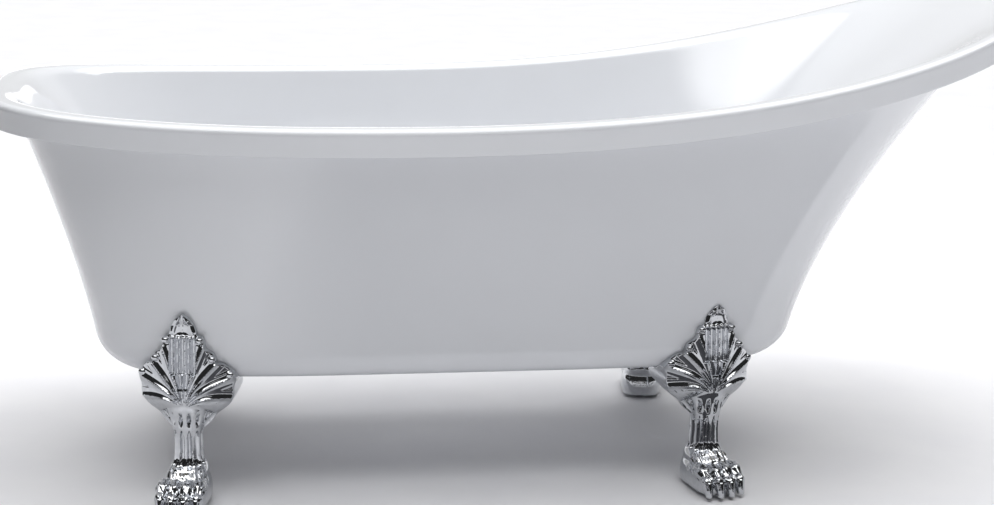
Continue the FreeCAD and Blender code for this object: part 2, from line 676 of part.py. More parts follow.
def foot_blank():
    """A whole foot drawn round the leg's axis and facing -Y, still running into the skirt."""
    crest = crest_slab().common(crest_prism())
    leg_height = BELLY_HEIGHT - ANKLE_HEIGHT
    leg_rows = [(ANKLE_HEIGHT + place * leg_height, *row) for place, *row in LEG_SECTIONS]
    leg = Part.makeLoft([level_section(*row, LEG_EXPONENT) for row in leg_rows], True)
    paw = Part.makeLoft([level_section(*row, PAW_EXPONENT) for row in PAW_SECTIONS], True)
    tongue_top = BELLY_HEIGHT + BEYOND / 8
    tongue = Part.makeBox(2 * TONGUE_HALF_WIDTH, TONGUE_REACH, tongue_top - BELLY_HEIGHT + TONGUE_THICK,
                          Vector(-TONGUE_HALF_WIDTH, 0, BELLY_HEIGHT - TONGUE_THICK))
    pieces = [leg, paw, tongue]
    for u, z, radius in CREST_CURLS:
        for side in ((-1, 1) if u else (1,)):
            v = crest_front(z) - CREST_SWEEP * u * u - CURL_SINK * radius
            pieces.append(Part.makeSphere(radius, Vector(side * u, -v, BELLY_HEIGHT + z)))
    blank = crest
    for piece in pieces + toes():
        blank = blank.fuse(piece)
    floor_corner = Vector(-2 * BEYOND, -2 * BEYOND, PAW_BASE - BEYOND)
    floor_cut = Part.makeBox(4 * BEYOND, 4 * BEYOND, BEYOND, floor_corner)
    screw_top = PAW_BASE + BUSH_LENGTH + SCREW_TOP_SPACE
    cuts = [
        floor_cut,
        cylinder(BUSH_RADIUS, 0, PAW_BASE + BUSH_LENGTH, 0, -LEVELLER_PLACE),
        cylinder(LEVELLER_RADIUS + SCREW_SIDE_SPACE, PAW_BASE, screw_top, 0, -LEVELLER_PLACE),
    ]
    for side in (-1, 1):
        cuts.append(cylinder(BOLT_RADIUS + BOLT_HOLE_CLEARANCE, BELLY_HEIGHT - TONGUE_THICK - BEYOND / 8,
                             BELLY_HEIGHT + BEYOND, side * BOLT_SPACING / 2, BOLT_PLACE))
    return blank.cut(cuts)


def make_feet():
    """The four feet by their places' names, cut to the skirt with a seating gap."""
    blank = foot_blank()
    seat = skirt_seat()
    feet = {}
    for place in foot_places():
        twin = "front" + place.name[len("rear"):]
        if place.side < 0:
            feet[place.name] = only_solid(place.placed(blank).cut(seat))
        else:
            feet[place.name] = feet[twin].mirror(Vector(0, 0, 0), Vector(0, 1, 0))
    return feet


# ================================================================ foot fixings and levellers
def make_plate(place):
    low = BELLY_HEIGHT + SKIRT_WALL
    plate = rounded_block(PLATE_LENGTH, PLATE_WIDTH, PLATE_THICK, low, low + PLATE_THICK, 0, BOLT_PLACE)
    for side in (-1, 1):
        hole = cylinder(BOLT_RADIUS + BOLT_HOLE_CLEARANCE, low, low + PLATE_THICK,
                        side * BOLT_SPACING / 2, BOLT_PLACE)
        plate = plate.cut(hole)
    return place.placed(plate)


def fixing_levels():
    """Heights in one bolt's stack: washer, tongue, skirt, plate, nut and bolt end."""
    tongue_low = BELLY_HEIGHT - TONGUE_THICK
    plate_top = BELLY_HEIGHT + SKIRT_WALL + PLATE_THICK
    return tongue_low, plate_top


def make_bolt(x, y):
    tongue_low, plate_top = fixing_levels()
    head_top = tongue_low - WASHER_THICK
    end = plate_top + NUT_HEIGHT + BOLT_STICK_OUT
    shank = cylinder(BOLT_RADIUS, head_top, end, x, y)
    return only_solid(fuse([hexagon(HEX_HALF_FLATS, head_top - BOLT_HEAD_HEIGHT, head_top, x, y), shank]))


def make_washer(x, y):
    tongue_low = fixing_levels()[0]
    return ring(WASHER_RADIUS, BOLT_RADIUS + BOLT_HOLE_CLEARANCE, tongue_low - WASHER_THICK, tongue_low, x, y)


def make_nut(x, y):
    plate_top = fixing_levels()[1]
    nut = hexagon(HEX_HALF_FLATS, plate_top, plate_top + NUT_HEIGHT, x, y)
    bore = cylinder(BOLT_RADIUS + FIT_CLEARANCE, plate_top, plate_top + NUT_HEIGHT, x, y)
    return nut.cut(bore)


def make_bush(place):
    x, y = place.world(0, LEVELLER_PLACE)
    return ring(BUSH_RADIUS - FIT_CLEARANCE, LEVELLER_RADIUS + FIT_CLEARANCE,
                PAW_BASE, PAW_BASE + BUSH_LENGTH, x, y)


def make_leveller_screw(place):
    """The threaded rod, with its foot in the pad's socket."""
    x, y = place.world(0, LEVELLER_PLACE)
    pad_top = PAW_BASE - SEAT_GAP
    low = pad_top - PAD_SOCKET_DEPTH
    return cylinder(LEVELLER_RADIUS, low, PAW_BASE + BUSH_LENGTH, x, y)


def make_leveller_pad(place):
    x, y = place.world(0, LEVELLER_PLACE)
    pad_top = PAW_BASE - SEAT_GAP
    pad = cylinder(PAD_RADIUS, 0, pad_top, x, y)
    rim_edges = [edge for edge in pad.Edges if edge.BoundBox.ZMin > pad_top - SEAT_GAP]
    pad = pad.makeFillet(pad_top / 4, rim_edges)
    socket = cylinder(LEVELLER_RADIUS + FIT_CLEARANCE, pad_top - PAD_SOCKET_DEPTH, pad_top, x, y)
    return only_solid(pad.cut(socket))


# ================================================================ waste and plug
FLANGE_LOW = BASIN_FLOOR_HEIGHT + FLANGE_GASKET_THICK
FLANGE_TOP = FLANGE_LOW + WASTE_FLANGE_THICK
BOWL_UNDERSIDE = BASIN_FLOOR_HEIGHT - BOWL_WALL
WASTE_TOP = BOWL_UNDERSIDE - WASTE_GASKET_THICK
WASTE_LOW = WASTE_TOP - WASTE_BODY_HEIGHT
NECK_LOW = BASIN_FLOOR_HEIGHT - NECK_LENGTH
SPIDER_TOP = BASIN_FLOOR_HEIGHT - SPIDER_DROP
SPIDER_LOW = SPIDER_TOP - SPIDER_THICK
BARREL_TOP = SPIDER_TOP + BARREL_COLLAR_THICK + BARREL_ABOVE
BARREL_LOW = SPIDER_LOW - BARREL_BELOW
SPRING_LOW = BARREL_LOW + BARREL_END_WALL
STEM_LOW = BARREL_TOP - STEM_IN_BARREL
SEAL_LOW = FLANGE_TOP + PLUG_TRAVEL + SEAT_GAP
PLUG_LOW = SEAL_LOW + SEAL_THICK - SEAL_GROOVE
TAIL_NUT_LOW = WASTE_LOW - TAIL_WASHER_THICK - TAIL_NUT_LIP
TAIL_LOW = TAIL_NUT_LOW - TAIL_FREE_LENGTH
TAIL_NECK_RADIUS = TAIL_RADIUS - TAIL_STEP
PIPE_LEVEL = WASTE_TOP - BRANCH_DROP


def make_waste_flange():
    flange = cylinder(WASTE_FLANGE_RADIUS, FLANGE_LOW, FLANGE_TOP)
    neck = cylinder(NECK_RADIUS, NECK_LOW, FLANGE_LOW)
    outer = fuse([flange, neck]).cut(cylinder(NECK_BORE, NECK_LOW, FLANGE_TOP))
    ribs = []
    for turn in (0, 90):
        rib = Part.makeBox(2 * NECK_BORE + 1, SPIDER_RIB, SPIDER_THICK,
                           Vector(-NECK_BORE - 0.5, -SPIDER_RIB / 2, SPIDER_LOW))
        rib.rotate(Vector(0, 0, 0), UP, turn)
        ribs.append(rib)
    whole = fuse([outer, cylinder(HUB_RADIUS, SPIDER_LOW, SPIDER_TOP)] + ribs)
    whole = whole.cut(cylinder(BARREL_RADIUS + FIT_CLEARANCE, SPIDER_LOW, SPIDER_TOP))
    return at_waste(whole)


def at_waste(shape):
    moved = only_solid(shape)
    moved.translate(Vector(WASTE_X, 0, 0))
    return moved


def make_waste_body():
    collar = cylinder(WASTE_COLLAR_RADIUS, WASTE_TOP - WASTE_COLLAR_THICK, WASTE_TOP)
    body = cylinder(WASTE_BODY_RADIUS, WASTE_LOW, WASTE_TOP)
    branch_start = Vector(0, 0, PIPE_LEVEL)
    branch_way = Vector(-1, 0, 0)
    branch = Part.makeCylinder(PIPE_RADIUS + SOCKET_WALL, BRANCH_LENGTH, branch_start, branch_way)
    whole = fuse([collar, body, branch])
    socket_top = WASTE_LOW + TAIL_SOCKET
    whole = whole.cut(cylinder(NECK_RADIUS + FIT_CLEARANCE, NECK_LOW - NECK_END_SPACE, WASTE_TOP))
    whole = whole.cut(cylinder(WASTE_LEDGE_BORE, WASTE_LOW, WASTE_TOP))
    whole = whole.cut(cylinder(TAIL_NECK_RADIUS + FIT_CLEARANCE, WASTE_LOW, socket_top))
    pipe_seat = BRANCH_LENGTH - PIPE_IN_SOCKET
    bore = Part.makeCylinder(PIPE_RADIUS - PIPE_WALL, BRANCH_LENGTH, branch_start, branch_way)
    socket_start = branch_start + branch_way * pipe_seat
    socket = Part.makeCylinder(PIPE_RADIUS + FIT_CLEARANCE, PIPE_IN_SOCKET, socket_start, branch_way)
    return at_waste(whole.cut(bore).cut(socket))


def make_tail_pipe():
    turned = cylinder(TAIL_NECK_RADIUS, TAIL_NUT_LOW, WASTE_LOW + TAIL_SOCKET)
    free = cylinder(TAIL_RADIUS, TAIL_LOW, TAIL_NUT_LOW)
    bore = cylinder(TAIL_RADIUS - TAIL_WALL, TAIL_LOW, WASTE_TOP)
    return at_waste(fuse([turned, free]).cut(bore))


def make_tail_nut():
    outer = hexagon(WASTE_BODY_RADIUS + TAIL_NUT_WALL, TAIL_NUT_LOW, WASTE_LOW + TAIL_SOCKET - TAIL_NUT_LIP)
    thread = cylinder(WASTE_BODY_RADIUS + FIT_CLEARANCE, WASTE_LOW - TAIL_WASHER_THICK, WASTE_TOP)
    bore = cylinder(TAIL_NECK_RADIUS + SEAT_GAP, TAIL_NUT_LOW, WASTE_TOP)
    return at_waste(outer.cut(thread).cut(bore))


def make_plug():
    edge_top = PLUG_LOW + PLUG_EDGE_THICK
    dome_radius = (PLUG_RADIUS ** 2 + PLUG_DOME ** 2) / (2 * PLUG_DOME)
    ball = Part.makeSphere(dome_radius, Vector(0, 0, edge_top + PLUG_DOME - dome_radius))
    cap = cylinder(PLUG_RADIUS, PLUG_LOW, edge_top + PLUG_DOME).common(ball)
    groove = ring(SEAL_OUTER + FIT_CLEARANCE, SEAL_INNER - FIT_CLEARANCE, PLUG_LOW, PLUG_LOW + SEAL_GROOVE)
    stem = cylinder(STEM_RADIUS, STEM_LOW, edge_top)
    return at_waste(fuse([cap.cut(groove), stem]))


def make_barrel():
    tube = cylinder(BARREL_RADIUS, BARREL_LOW, BARREL_TOP)
    collar = cylinder(BARREL_COLLAR, SPIDER_TOP, SPIDER_TOP + BARREL_COLLAR_THICK)
    return at_waste(fuse([tube, collar]).cut(cylinder(BARREL_BORE, SPRING_LOW, BARREL_TOP)))


def make_spring():
    """The coil between the barrel's end wall and the stem, with the plug up."""
    low = SPRING_LOW + SPRING_WIRE_RADIUS
    height = STEM_LOW - SPRING_LOW - 2 * SPRING_WIRE_RADIUS
    helix = Part.makeHelix(height / SPRING_TURNS, height, SPRING_COIL_RADIUS)
    circle = Part.makeCircle(SPRING_WIRE_RADIUS, Vector(SPRING_COIL_RADIUS, 0, 0), Vector(0, 1, 0))
    coil = Part.Wire(helix.Edges).makePipeShell([Part.Wire([circle])], True, True)
    coil.translate(Vector(WASTE_X, 0, low))
    return coil


# ================================================================ overflow
def bowl_end(z, offset):
    """Place along X of the bowl's low end wall at height z, moved out by offset."""
    return bowl_point(math.pi, z, offset)[0]


def overflow_tilt():
    """Angle between the wall's normal at the overflow and the level, in radians."""
    step = 5.0
    run = bowl_end(OVERFLOW_HEIGHT - step, 0) - bowl_end(OVERFLOW_HEIGHT + step, 0)
    return math.atan2(run, 2 * step)


def overflow_way():
    tilt = overflow_tilt()
    return Vector(math.cos(tilt), 0, math.sin(tilt))


def overflow_middle():
    """Where the overflow's axis meets the bowl's inner face."""
    return Vector(bowl_end(OVERFLOW_HEIGHT, 0), 0, OVERFLOW_HEIGHT)


def along_overflow(radius, start, end):
    """A cylinder on the overflow's axis, from start to end, counted into the bowl."""
    way = overflow_way()
    return Part.makeCylinder(radius, end - start, overflow_middle() + way * start, way)


def wall_depth():
    """The bowl's wall measured along the overflow's axis."""
    return BOWL_WALL * math.cos(overflow_tilt())


def make_overflow_face(bowl_space):
    """The chromed face on the wall, open through a slot low in it."""
    disc = along_overflow(OVERFLOW_FACE_RADIUS, -BOWL_WALL / 2, OVERFLOW_FACE_THICK)
    front = [edge for edge in disc.Edges if edge.BoundBox.Center.x > overflow_middle().x]
    front = [edge for edge in front if edge.BoundBox.YLength > OVERFLOW_FACE_RADIUS and edge.Closed]
    disc = disc.makeFillet(OVERFLOW_FACE_THICK / 2, front)
    slot = Part.makeBox(OVERFLOW_SLOT_WIDTH, OVERFLOW_SLOT_HEIGHT, BEYOND,
                        Vector(-OVERFLOW_SLOT_WIDTH / 2, -OVERFLOW_SLOT_HEIGHT / 2, -BEYOND / 2))
    slot.rotate(Vector(0, 0, 0), UP, 90)
    slot.translate(Vector(-OVERFLOW_SLOT_DROP, 0, 0))
    slot.rotate(Vector(0, 0, 0), Vector(0, 1, 0), 90 - math.degrees(overflow_tilt()))
    slot.translate(overflow_middle())
    screw_hole = along_overflow(OVERFLOW_SCREW_RADIUS + BOLT_HOLE_CLEARANCE, -BEYOND, BEYOND)
    return only_solid(disc.common(bowl_space).cut(slot).cut(screw_hole))


def make_overflow_gasket(bowl_seat):
    start = -wall_depth() - OVERFLOW_GASKET_THICK
    blank = along_overflow(OVERFLOW_FLANGE_RADIUS, start, 0)
    blank = blank.cut(along_overflow(OVERFLOW_HOLE, start - 1, 1))
    return only_solid(blank.cut(bowl_seat))


def pipe_top():
    """The falling pipe's upper end, on its axis."""
    z = OVERFLOW_HEIGHT - PIPE_TOP_DROP
    return Vector(bowl_end(z, BOWL_WALL) - PIPE_STANDOFF, 0, z)


def pipe_corner():
    """Where the falling pipe's axis meets the level run's."""
    return Vector(-BOWL_FOOT_FLOOR - PIPE_CORNER_SPACE, 0, PIPE_LEVEL)


def pipe_way():
    """Down along the falling pipe."""
    way = pipe_corner() - pipe_top()
    way.normalize()
    return way


def make_overflow_elbow():
    """A short chamber behind the wall with a leaning socket for the pipe."""
    back = -wall_depth() - OVERFLOW_GASKET_THICK
    flange = along_overflow(OVERFLOW_FLANGE_RADIUS, back - OVERFLOW_FLANGE_THICK, back)
    chamber = along_overflow(OVERFLOW_CHAMBER_RADIUS, back - OVERFLOW_CHAMBER_LENGTH, back)
    inside = along_overflow(OVERFLOW_CHAMBER_RADIUS - OVERFLOW_CHAMBER_WALL,
                            back - OVERFLOW_CHAMBER_LENGTH + OVERFLOW_CHAMBER_WALL, back + 1)
    way = pipe_way()
    seat = pipe_top()
    chamber_middle = overflow_middle() + overflow_way() * (back - OVERFLOW_CHAMBER_LENGTH / 2)
    above = (chamber_middle - seat).dot(way * -1)
    socket = Part.makeCylinder(PIPE_RADIUS + SOCKET_WALL, above + PIPE_IN_SOCKET, seat - way * above, way)
    bore = Part.makeCylinder(PIPE_RADIUS - PIPE_WALL, above + PIPE_IN_SOCKET, seat - way * above, way)
    pipe_seat = Part.makeCylinder(PIPE_RADIUS + FIT_CLEARANCE, PIPE_IN_SOCKET, seat, way)
    outer = fuse([flange, chamber, socket])
    keep_out = along_overflow(OVERFLOW_FLANGE_RADIUS * 2, back, back + BEYOND)
    hollow = outer.cut(keep_out).cut(inside).cut(bore).cut(pipe_seat)
    bar = Part.makeBox(OVERFLOW_BAR, 2 * OVERFLOW_CHAMBER_RADIUS - OVERFLOW_CHAMBER_WALL, OVERFLOW_FLANGE_THICK,
                       Vector(-OVERFLOW_BAR / 2, -OVERFLOW_CHAMBER_RADIUS + OVERFLOW_CHAMBER_WALL / 2, 0))
    bar.rotate(Vector(0, 0, 0), Vector(0, 1, 0), 90 - math.degrees(overflow_tilt()))
    bar.translate(overflow_middle() + overflow_way() * (back - OVERFLOW_FLANGE_THICK))
    thread = along_overflow(OVERFLOW_SCREW_RADIUS + FIT_CLEARANCE, back - 2 * OVERFLOW_FLANGE_THICK, back + 1)
    return only_solid(fuse([hollow, bar]).cut(thread))


def make_overflow_screw():
    head = along_overflow(OVERFLOW_SCREW_HEAD, OVERFLOW_FACE_THICK, OVERFLOW_FACE_THICK + OVERFLOW_SCREW_RADIUS)
    end = OVERFLOW_FACE_THICK - OVERFLOW_SCREW_LENGTH
    shank = along_overflow(OVERFLOW_SCREW_RADIUS, end, OVERFLOW_FACE_THICK)
    return only_solid(fuse([head, shank]))


def make_overflow_pipe():
    """Down beside the wall, round one bend, and level into the waste."""
    start = pipe_top()
    corner = pipe_corner()
    way = pipe_way()
    end = Vector(WASTE_X - BRANCH_LENGTH + PIPE_IN_SOCKET, 0, PIPE_LEVEL)
    level_way = Vector(1, 0, 0)
    turn = way.getAngle(level_way)
    tangent = PIPE_BEND * math.tan(turn / 2)
    bend_start = corner - way * tangent
    bend_end = corner + level_way * tangent
    inward = level_way - way
    inward.normalize()
    middle = corner + inward * (PIPE_BEND / math.cos(turn / 2) - PIPE_BEND)
    path = Part.Wire([
        Part.makeLine(start, bend_start),
        Part.Arc(bend_start, middle, bend_end).toShape(),
        Part.makeLine(bend_end, end),
    ])
    outer = path.makePipeShell([Part.Wire([Part.makeCircle(PIPE_RADIUS, start, way)])], True, False)
    inner = path.makePipeShell([Part.Wire([Part.makeCircle(PIPE_RADIUS - PIPE_WALL, start, way)])], True, False)
    return only_solid(outer.cut(inner))


def make_pipe_nut(mouth, way):
    """A nut over a socket's mouth, with a lip round the pipe; way leads out of the socket."""
    start = mouth - way * (PIPE_NUT_LENGTH - PIPE_NUT_LIP)
    blank = hexagon(PIPE_RADIUS + SOCKET_WALL + PIPE_NUT_WALL, 0, PIPE_NUT_LENGTH, turn=30)
    blank.Placement = FreeCAD.Placement(start, FreeCAD.Rotation(UP, way))
    over_socket = Part.makeCylinder(PIPE_RADIUS + SOCKET_WALL + FIT_CLEARANCE, PIPE_NUT_LENGTH - PIPE_NUT_LIP,
                                    start, way)
    over_pipe = Part.makeCylinder(PIPE_RADIUS + FIT_CLEARANCE, PIPE_NUT_LENGTH, start, way)
    return only_solid(blank.cut(over_socket).cut(over_pipe))


def make_pipe_nuts():
    elbow_mouth = pipe_top() + pipe_way() * PIPE_IN_SOCKET
    branch_mouth = Vector(WASTE_X - BRANCH_LENGTH, 0, PIPE_LEVEL)
    return [make_pipe_nut(elbow_mouth, pipe_way()), make_pipe_nut(branch_mouth, Vector(-1, 0, 0))]


# ================================================================ all pieces
def build():
    """Every piece by its node's name."""
    pieces = {
        "basin": make_basin(),
        "rim_stiffener": make_stiffener(),
        "outer_skirt": make_skirt(),
        "base_board": make_board(),
        "runner_front": make_runner(-1),
        "runner_rear": make_runner(1),
    }
    feet = make_feet()
    bolts = []
    for place in foot_places():
        pieces["claw_foot_" + place.name] = feet[place.name]
        pieces["foot_plate_" + place.name] = make_plate(place)
        pieces["leveller_screw_" + place.name] = make_leveller_screw(place)
        pieces["leveller_pad_" + place.name] = make_leveller_pad(place)
        bolts += place.bolt_places()
    pieces["foot_bolts"] = Part.makeCompound([make_bolt(x, y) for x, y in bolts])
    pieces["foot_washers"] = Part.makeCompound([make_washer(x, y) for x, y in bolts])
    pieces["foot_nuts"] = Part.makeCompound([make_nut(x, y) for x, y in bolts])
    pieces["leveller_bushes"] = Part.makeCompound([make_bush(place) for place in foot_places()])
    pieces["waste_flange"] = make_waste_flange()
    pieces["flange_gasket"] = ring(WASTE_FLANGE_RADIUS - FLANGE_GASKET_INSET, BASIN_HOLE_RADIUS,
                                   BASIN_FLOOR_HEIGHT, FLANGE_LOW, WASTE_X)
    pieces["waste_gasket"] = ring(WASTE_COLLAR_RADIUS, BASIN_HOLE_RADIUS, WASTE_TOP, BOWL_UNDERSIDE, WASTE_X)
    pieces["waste_body"] = make_waste_body()
    pieces["tail_pipe"] = make_tail_pipe()
    pieces["tail_nut"] = make_tail_nut()
    pieces["tail_washer"] = ring(WASTE_BODY_RADIUS - SEAT_GAP, TAIL_NECK_RADIUS + FIT_CLEARANCE,
                                 WASTE_LOW - TAIL_WASHER_THICK, WASTE_LOW, WASTE_X)
    pieces["popup_plug"] = make_plug()
    pieces["popup_seal"] = ring(SEAL_OUTER, SEAL_INNER, SEAL_LOW, SEAL_LOW + SEAL_THICK, WASTE_X)
    pieces["popup_barrel"] = make_barrel()
    pieces["popup_spring"] = make_spring()
    pieces["overflow_face"] = make_overflow_face(bowl_solid(-SEAT_GAP))
    pieces["overflow_gasket"] = make_overflow_gasket(bowl_solid(BOWL_WALL + SEAT_GAP))
    pieces["overflow_elbow"] = make_overflow_elbow()
    pieces["overflow_screw"] = make_overflow_screw()
    pieces["overflow_pipe"] = make_overflow_pipe()
    pieces["overflow_nuts"] = Part.makeCompound(make_pipe_nuts())
    return pieces


def main():
    os.makedirs("parts", exist_ok=True)
    for name, shape in build().items():
        print(name, "solids", len(shape.Solids), "valid", shape.isValid(), shape.BoundBox)
        shape.exportStep(os.path.join("parts", name + ".step"))


main()
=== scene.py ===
import json
import logging
import math
from dataclasses import dataclass, field
from enum import Enum
from typing import Callable, Dict, List, Sequence, Tuple

import bpy
import numpy as np
from mathutils import Matrix, Vector


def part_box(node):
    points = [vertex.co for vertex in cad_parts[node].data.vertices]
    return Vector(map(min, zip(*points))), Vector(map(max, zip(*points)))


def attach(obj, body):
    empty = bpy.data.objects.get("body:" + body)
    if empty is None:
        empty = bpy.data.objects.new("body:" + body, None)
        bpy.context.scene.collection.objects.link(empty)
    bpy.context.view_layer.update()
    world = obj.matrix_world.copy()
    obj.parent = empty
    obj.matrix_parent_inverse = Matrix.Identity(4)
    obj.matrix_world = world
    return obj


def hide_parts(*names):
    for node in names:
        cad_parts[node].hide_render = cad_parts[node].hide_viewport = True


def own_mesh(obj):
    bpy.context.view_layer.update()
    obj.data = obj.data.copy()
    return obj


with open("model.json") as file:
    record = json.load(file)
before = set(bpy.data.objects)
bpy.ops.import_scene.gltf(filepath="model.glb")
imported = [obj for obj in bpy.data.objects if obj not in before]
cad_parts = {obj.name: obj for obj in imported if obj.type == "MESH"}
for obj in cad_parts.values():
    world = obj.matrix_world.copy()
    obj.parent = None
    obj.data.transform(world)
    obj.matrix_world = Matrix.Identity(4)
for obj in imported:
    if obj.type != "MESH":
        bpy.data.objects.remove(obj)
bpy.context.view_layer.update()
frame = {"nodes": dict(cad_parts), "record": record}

LOG = logging.getLogger("bathtub")
MM = 0.001
SHARP_DEGREES = 38.0
FULL_TURN = 2 * math.pi
Point = Tuple[float, float, float]
Field = np.ndarray
Ring = np.ndarray
Skin = Tuple[np.ndarray, List[Tuple[int, ...]]]


# ------------------------------------------------------------------ small tools
def linear(hex_colour: str, alpha: float = 1.0) -> Tuple[float, float, float, float]:
    """Turn an sRGB hex colour to linear light.

    Args:
        hex_colour: Six hex digits with a leading hash.
        alpha: Opacity to carry along.

    Returns:
        Linear red, green and blue, and alpha.
    """
    shares = [int(hex_colour[i:i + 2], 16) / 255 for i in (1, 3, 5)]
    return (*[s / 12.92 if s <= 0.04045 else ((s + 0.055) / 1.055) ** 2.4 for s in shares], alpha)


def add_node(tree: bpy.types.NodeTree, kind: str, settings: dict = None, inputs: dict = None,
             stops: Sequence[Tuple[float, str]] = ()) -> bpy.types.Node:
    """Add one node with its settings and its inputs, which are values or sockets to link from.

    Args:
        tree: The material's node tree.
        kind: The node's type name.
        settings: Properties of the node.
        inputs: Values or output sockets by input name or number.
        stops: Places and hex colours along a colour ramp.

    Returns:
        The new node.
    """
    node = tree.nodes.new(kind)
    for name, value in (settings or {}).items():
        setattr(node, name, value)
    for name, value in (inputs or {}).items():
        if isinstance(value, bpy.types.NodeSocket):
            tree.links.new(value, node.inputs[name])
        else:
            node.inputs[name].default_value = value
    for number, (place, colour) in enumerate(stops):
        elements = node.color_ramp.elements
        element = elements[number] if number < len(elements) else elements.new(place)
        element.position = place
        element.color = linear(colour)
    return node


def new_piece(name: str, points: np.ndarray, faces: Sequence[Sequence[int]],
              smooth: bool = True) -> bpy.types.Object:
    """Make a mesh object from points in millimetres.

    Args:
        name: The piece's name.
        points: Rows of x, y and z in millimetres.
        faces: Corner numbers of each face.
        smooth: Whether the faces are shaded smooth.

    Returns:
        The object, linked to the scene.
    """
    mesh = bpy.data.meshes.new(name)
    mesh.from_pydata((np.asarray(points) * MM).tolist(), [], [list(f) for f in faces])
    mesh.validate()
    if smooth:
        mesh.shade_smooth()
        mesh.set_sharp_from_angle(angle=math.radians(SHARP_DEGREES))
    piece = bpy.data.objects.new(name, mesh)
    bpy.context.scene.collection.objects.link(piece)
    return piece


def apply_modifiers(piece: bpy.types.Object) -> None:
    """Replace a piece's mesh by what its modifiers make of it.

    Args:
        piece: The piece with its modifiers.
    """
    evaluated = piece.evaluated_get(bpy.context.evaluated_depsgraph_get())
    mesh = bpy.data.meshes.new_from_object(evaluated)
    piece.modifiers.clear()
    piece.data = mesh
    mesh.shade_smooth()
    mesh.set_sharp_from_angle(angle=math.radians(SHARP_DEGREES))


def dress(piece: bpy.types.Object, material: bpy.types.Material) -> None:
    """Give a piece its one material.

    Args:
        piece: The piece.
        material: Its finish.
    """
    piece.data.materials.clear()
    piece.data.materials.append(material)


# ------------------------------------------------------------------ finishes
class Metal(Enum):
    """The bare and plated metals on the tub."""

    CHROME = "polished_chrome"
    ZINC = "zinc_steel"
    BRASS = "brass"
    SPRING = "spring_steel"


def new_material(name: str) -> Tuple[bpy.types.Material, bpy.types.NodeTree, bpy.types.Node]:
    """Start a material.

    Args:
        name: Its name.

    Returns:
        The material, its node tree and its shader.
    """
    material = bpy.data.materials.new(name)
    material.use_nodes = True
    tree = material.node_tree
    return material, tree, tree.nodes["Principled BSDF"]


@dataclass(frozen=True)
class CastAcrylic:
    """Vacuum-formed white acrylic sheet, polished: a deep even gloss with a very slight waviness."""

    colour: str = "#e3e5e9"
    thin_colour: str = "#e1e3e7"
    index: float = 1.49
    roughness: float = 0.07
    haze: float = 0.05
    coat: float = 0.6
    coat_roughness: float = 0.03
    wave_mm: float = 220.0
    wave_depth_mm: float = 4.0
    wave_strength: float = 0.12
    speck_mm: float = 3.0

    def material(self) -> bpy.types.Material:
        """Build the acrylic's nodes.

        Returns:
            The material.
        """
        material, tree, shader = new_material("vacuum_formed_white_acrylic")
        shader.inputs["IOR"].default_value = self.index
        shader.inputs["Coat Weight"].default_value = self.coat
        shader.inputs["Coat Roughness"].default_value = self.coat_roughness
        shader.inputs["Coat IOR"].default_value = self.index
        place = add_node(tree, "ShaderNodeTexCoord").outputs["Object"]
        # the sheet thins unevenly as it is drawn into the mould, which shifts its white a little
        drawn = add_node(tree, "ShaderNodeTexNoise", inputs={
            "Vector": place, "Scale": 1 / (self.wave_mm * MM), "Detail": 2.0})
        tint = add_node(tree, "ShaderNodeValToRGB", inputs={"Fac": drawn.outputs["Fac"]},
                        stops=[(0.35, self.thin_colour), (0.65, self.colour)])
        tree.links.new(tint.outputs["Color"], shader.inputs["Base Color"])
        # fine specks of polishing haze break up the gloss
        specks = add_node(tree, "ShaderNodeTexNoise", inputs={
            "Vector": place, "Scale": 1 / (self.speck_mm * MM), "Detail": 3.0})
        gloss = add_node(tree, "ShaderNodeMapRange", inputs={
            "Value": specks.outputs["Fac"], "From Min": 0.3, "From Max": 0.8,
            "To Min": self.roughness, "To Max": self.roughness + self.haze})
        tree.links.new(gloss.outputs["Result"], shader.inputs["Roughness"])
        relief = add_node(tree, "ShaderNodeBump", inputs={
            "Height": drawn.outputs["Fac"], "Strength": self.wave_strength,
            "Distance": self.wave_depth_mm * MM})
        tree.links.new(relief.outputs["Normal"], shader.inputs["Normal"])
        return material


@dataclass(frozen=True)
class Grain:
    """How much a surface's grain shows: its fineness, the ramp of its colours, its gloss and its relief."""

    detail: float
    distortion: float
    ramp: Tuple[float, float]
    gloss: Tuple[float, float]
    relief: float


# polishing, plating and drawing leave a fine even grain that shows mostly in the gloss
WORKED = Grain(4.0, 0.0, (0.3, 0.7), (0.7, 1.4), 0.2)
# fibres, flakes, year rings and mould texture wander, and show mostly in the colour
RAW = Grain(5.0, 0.6, (0.32, 0.68), (0.85, 1.15), 0.15)


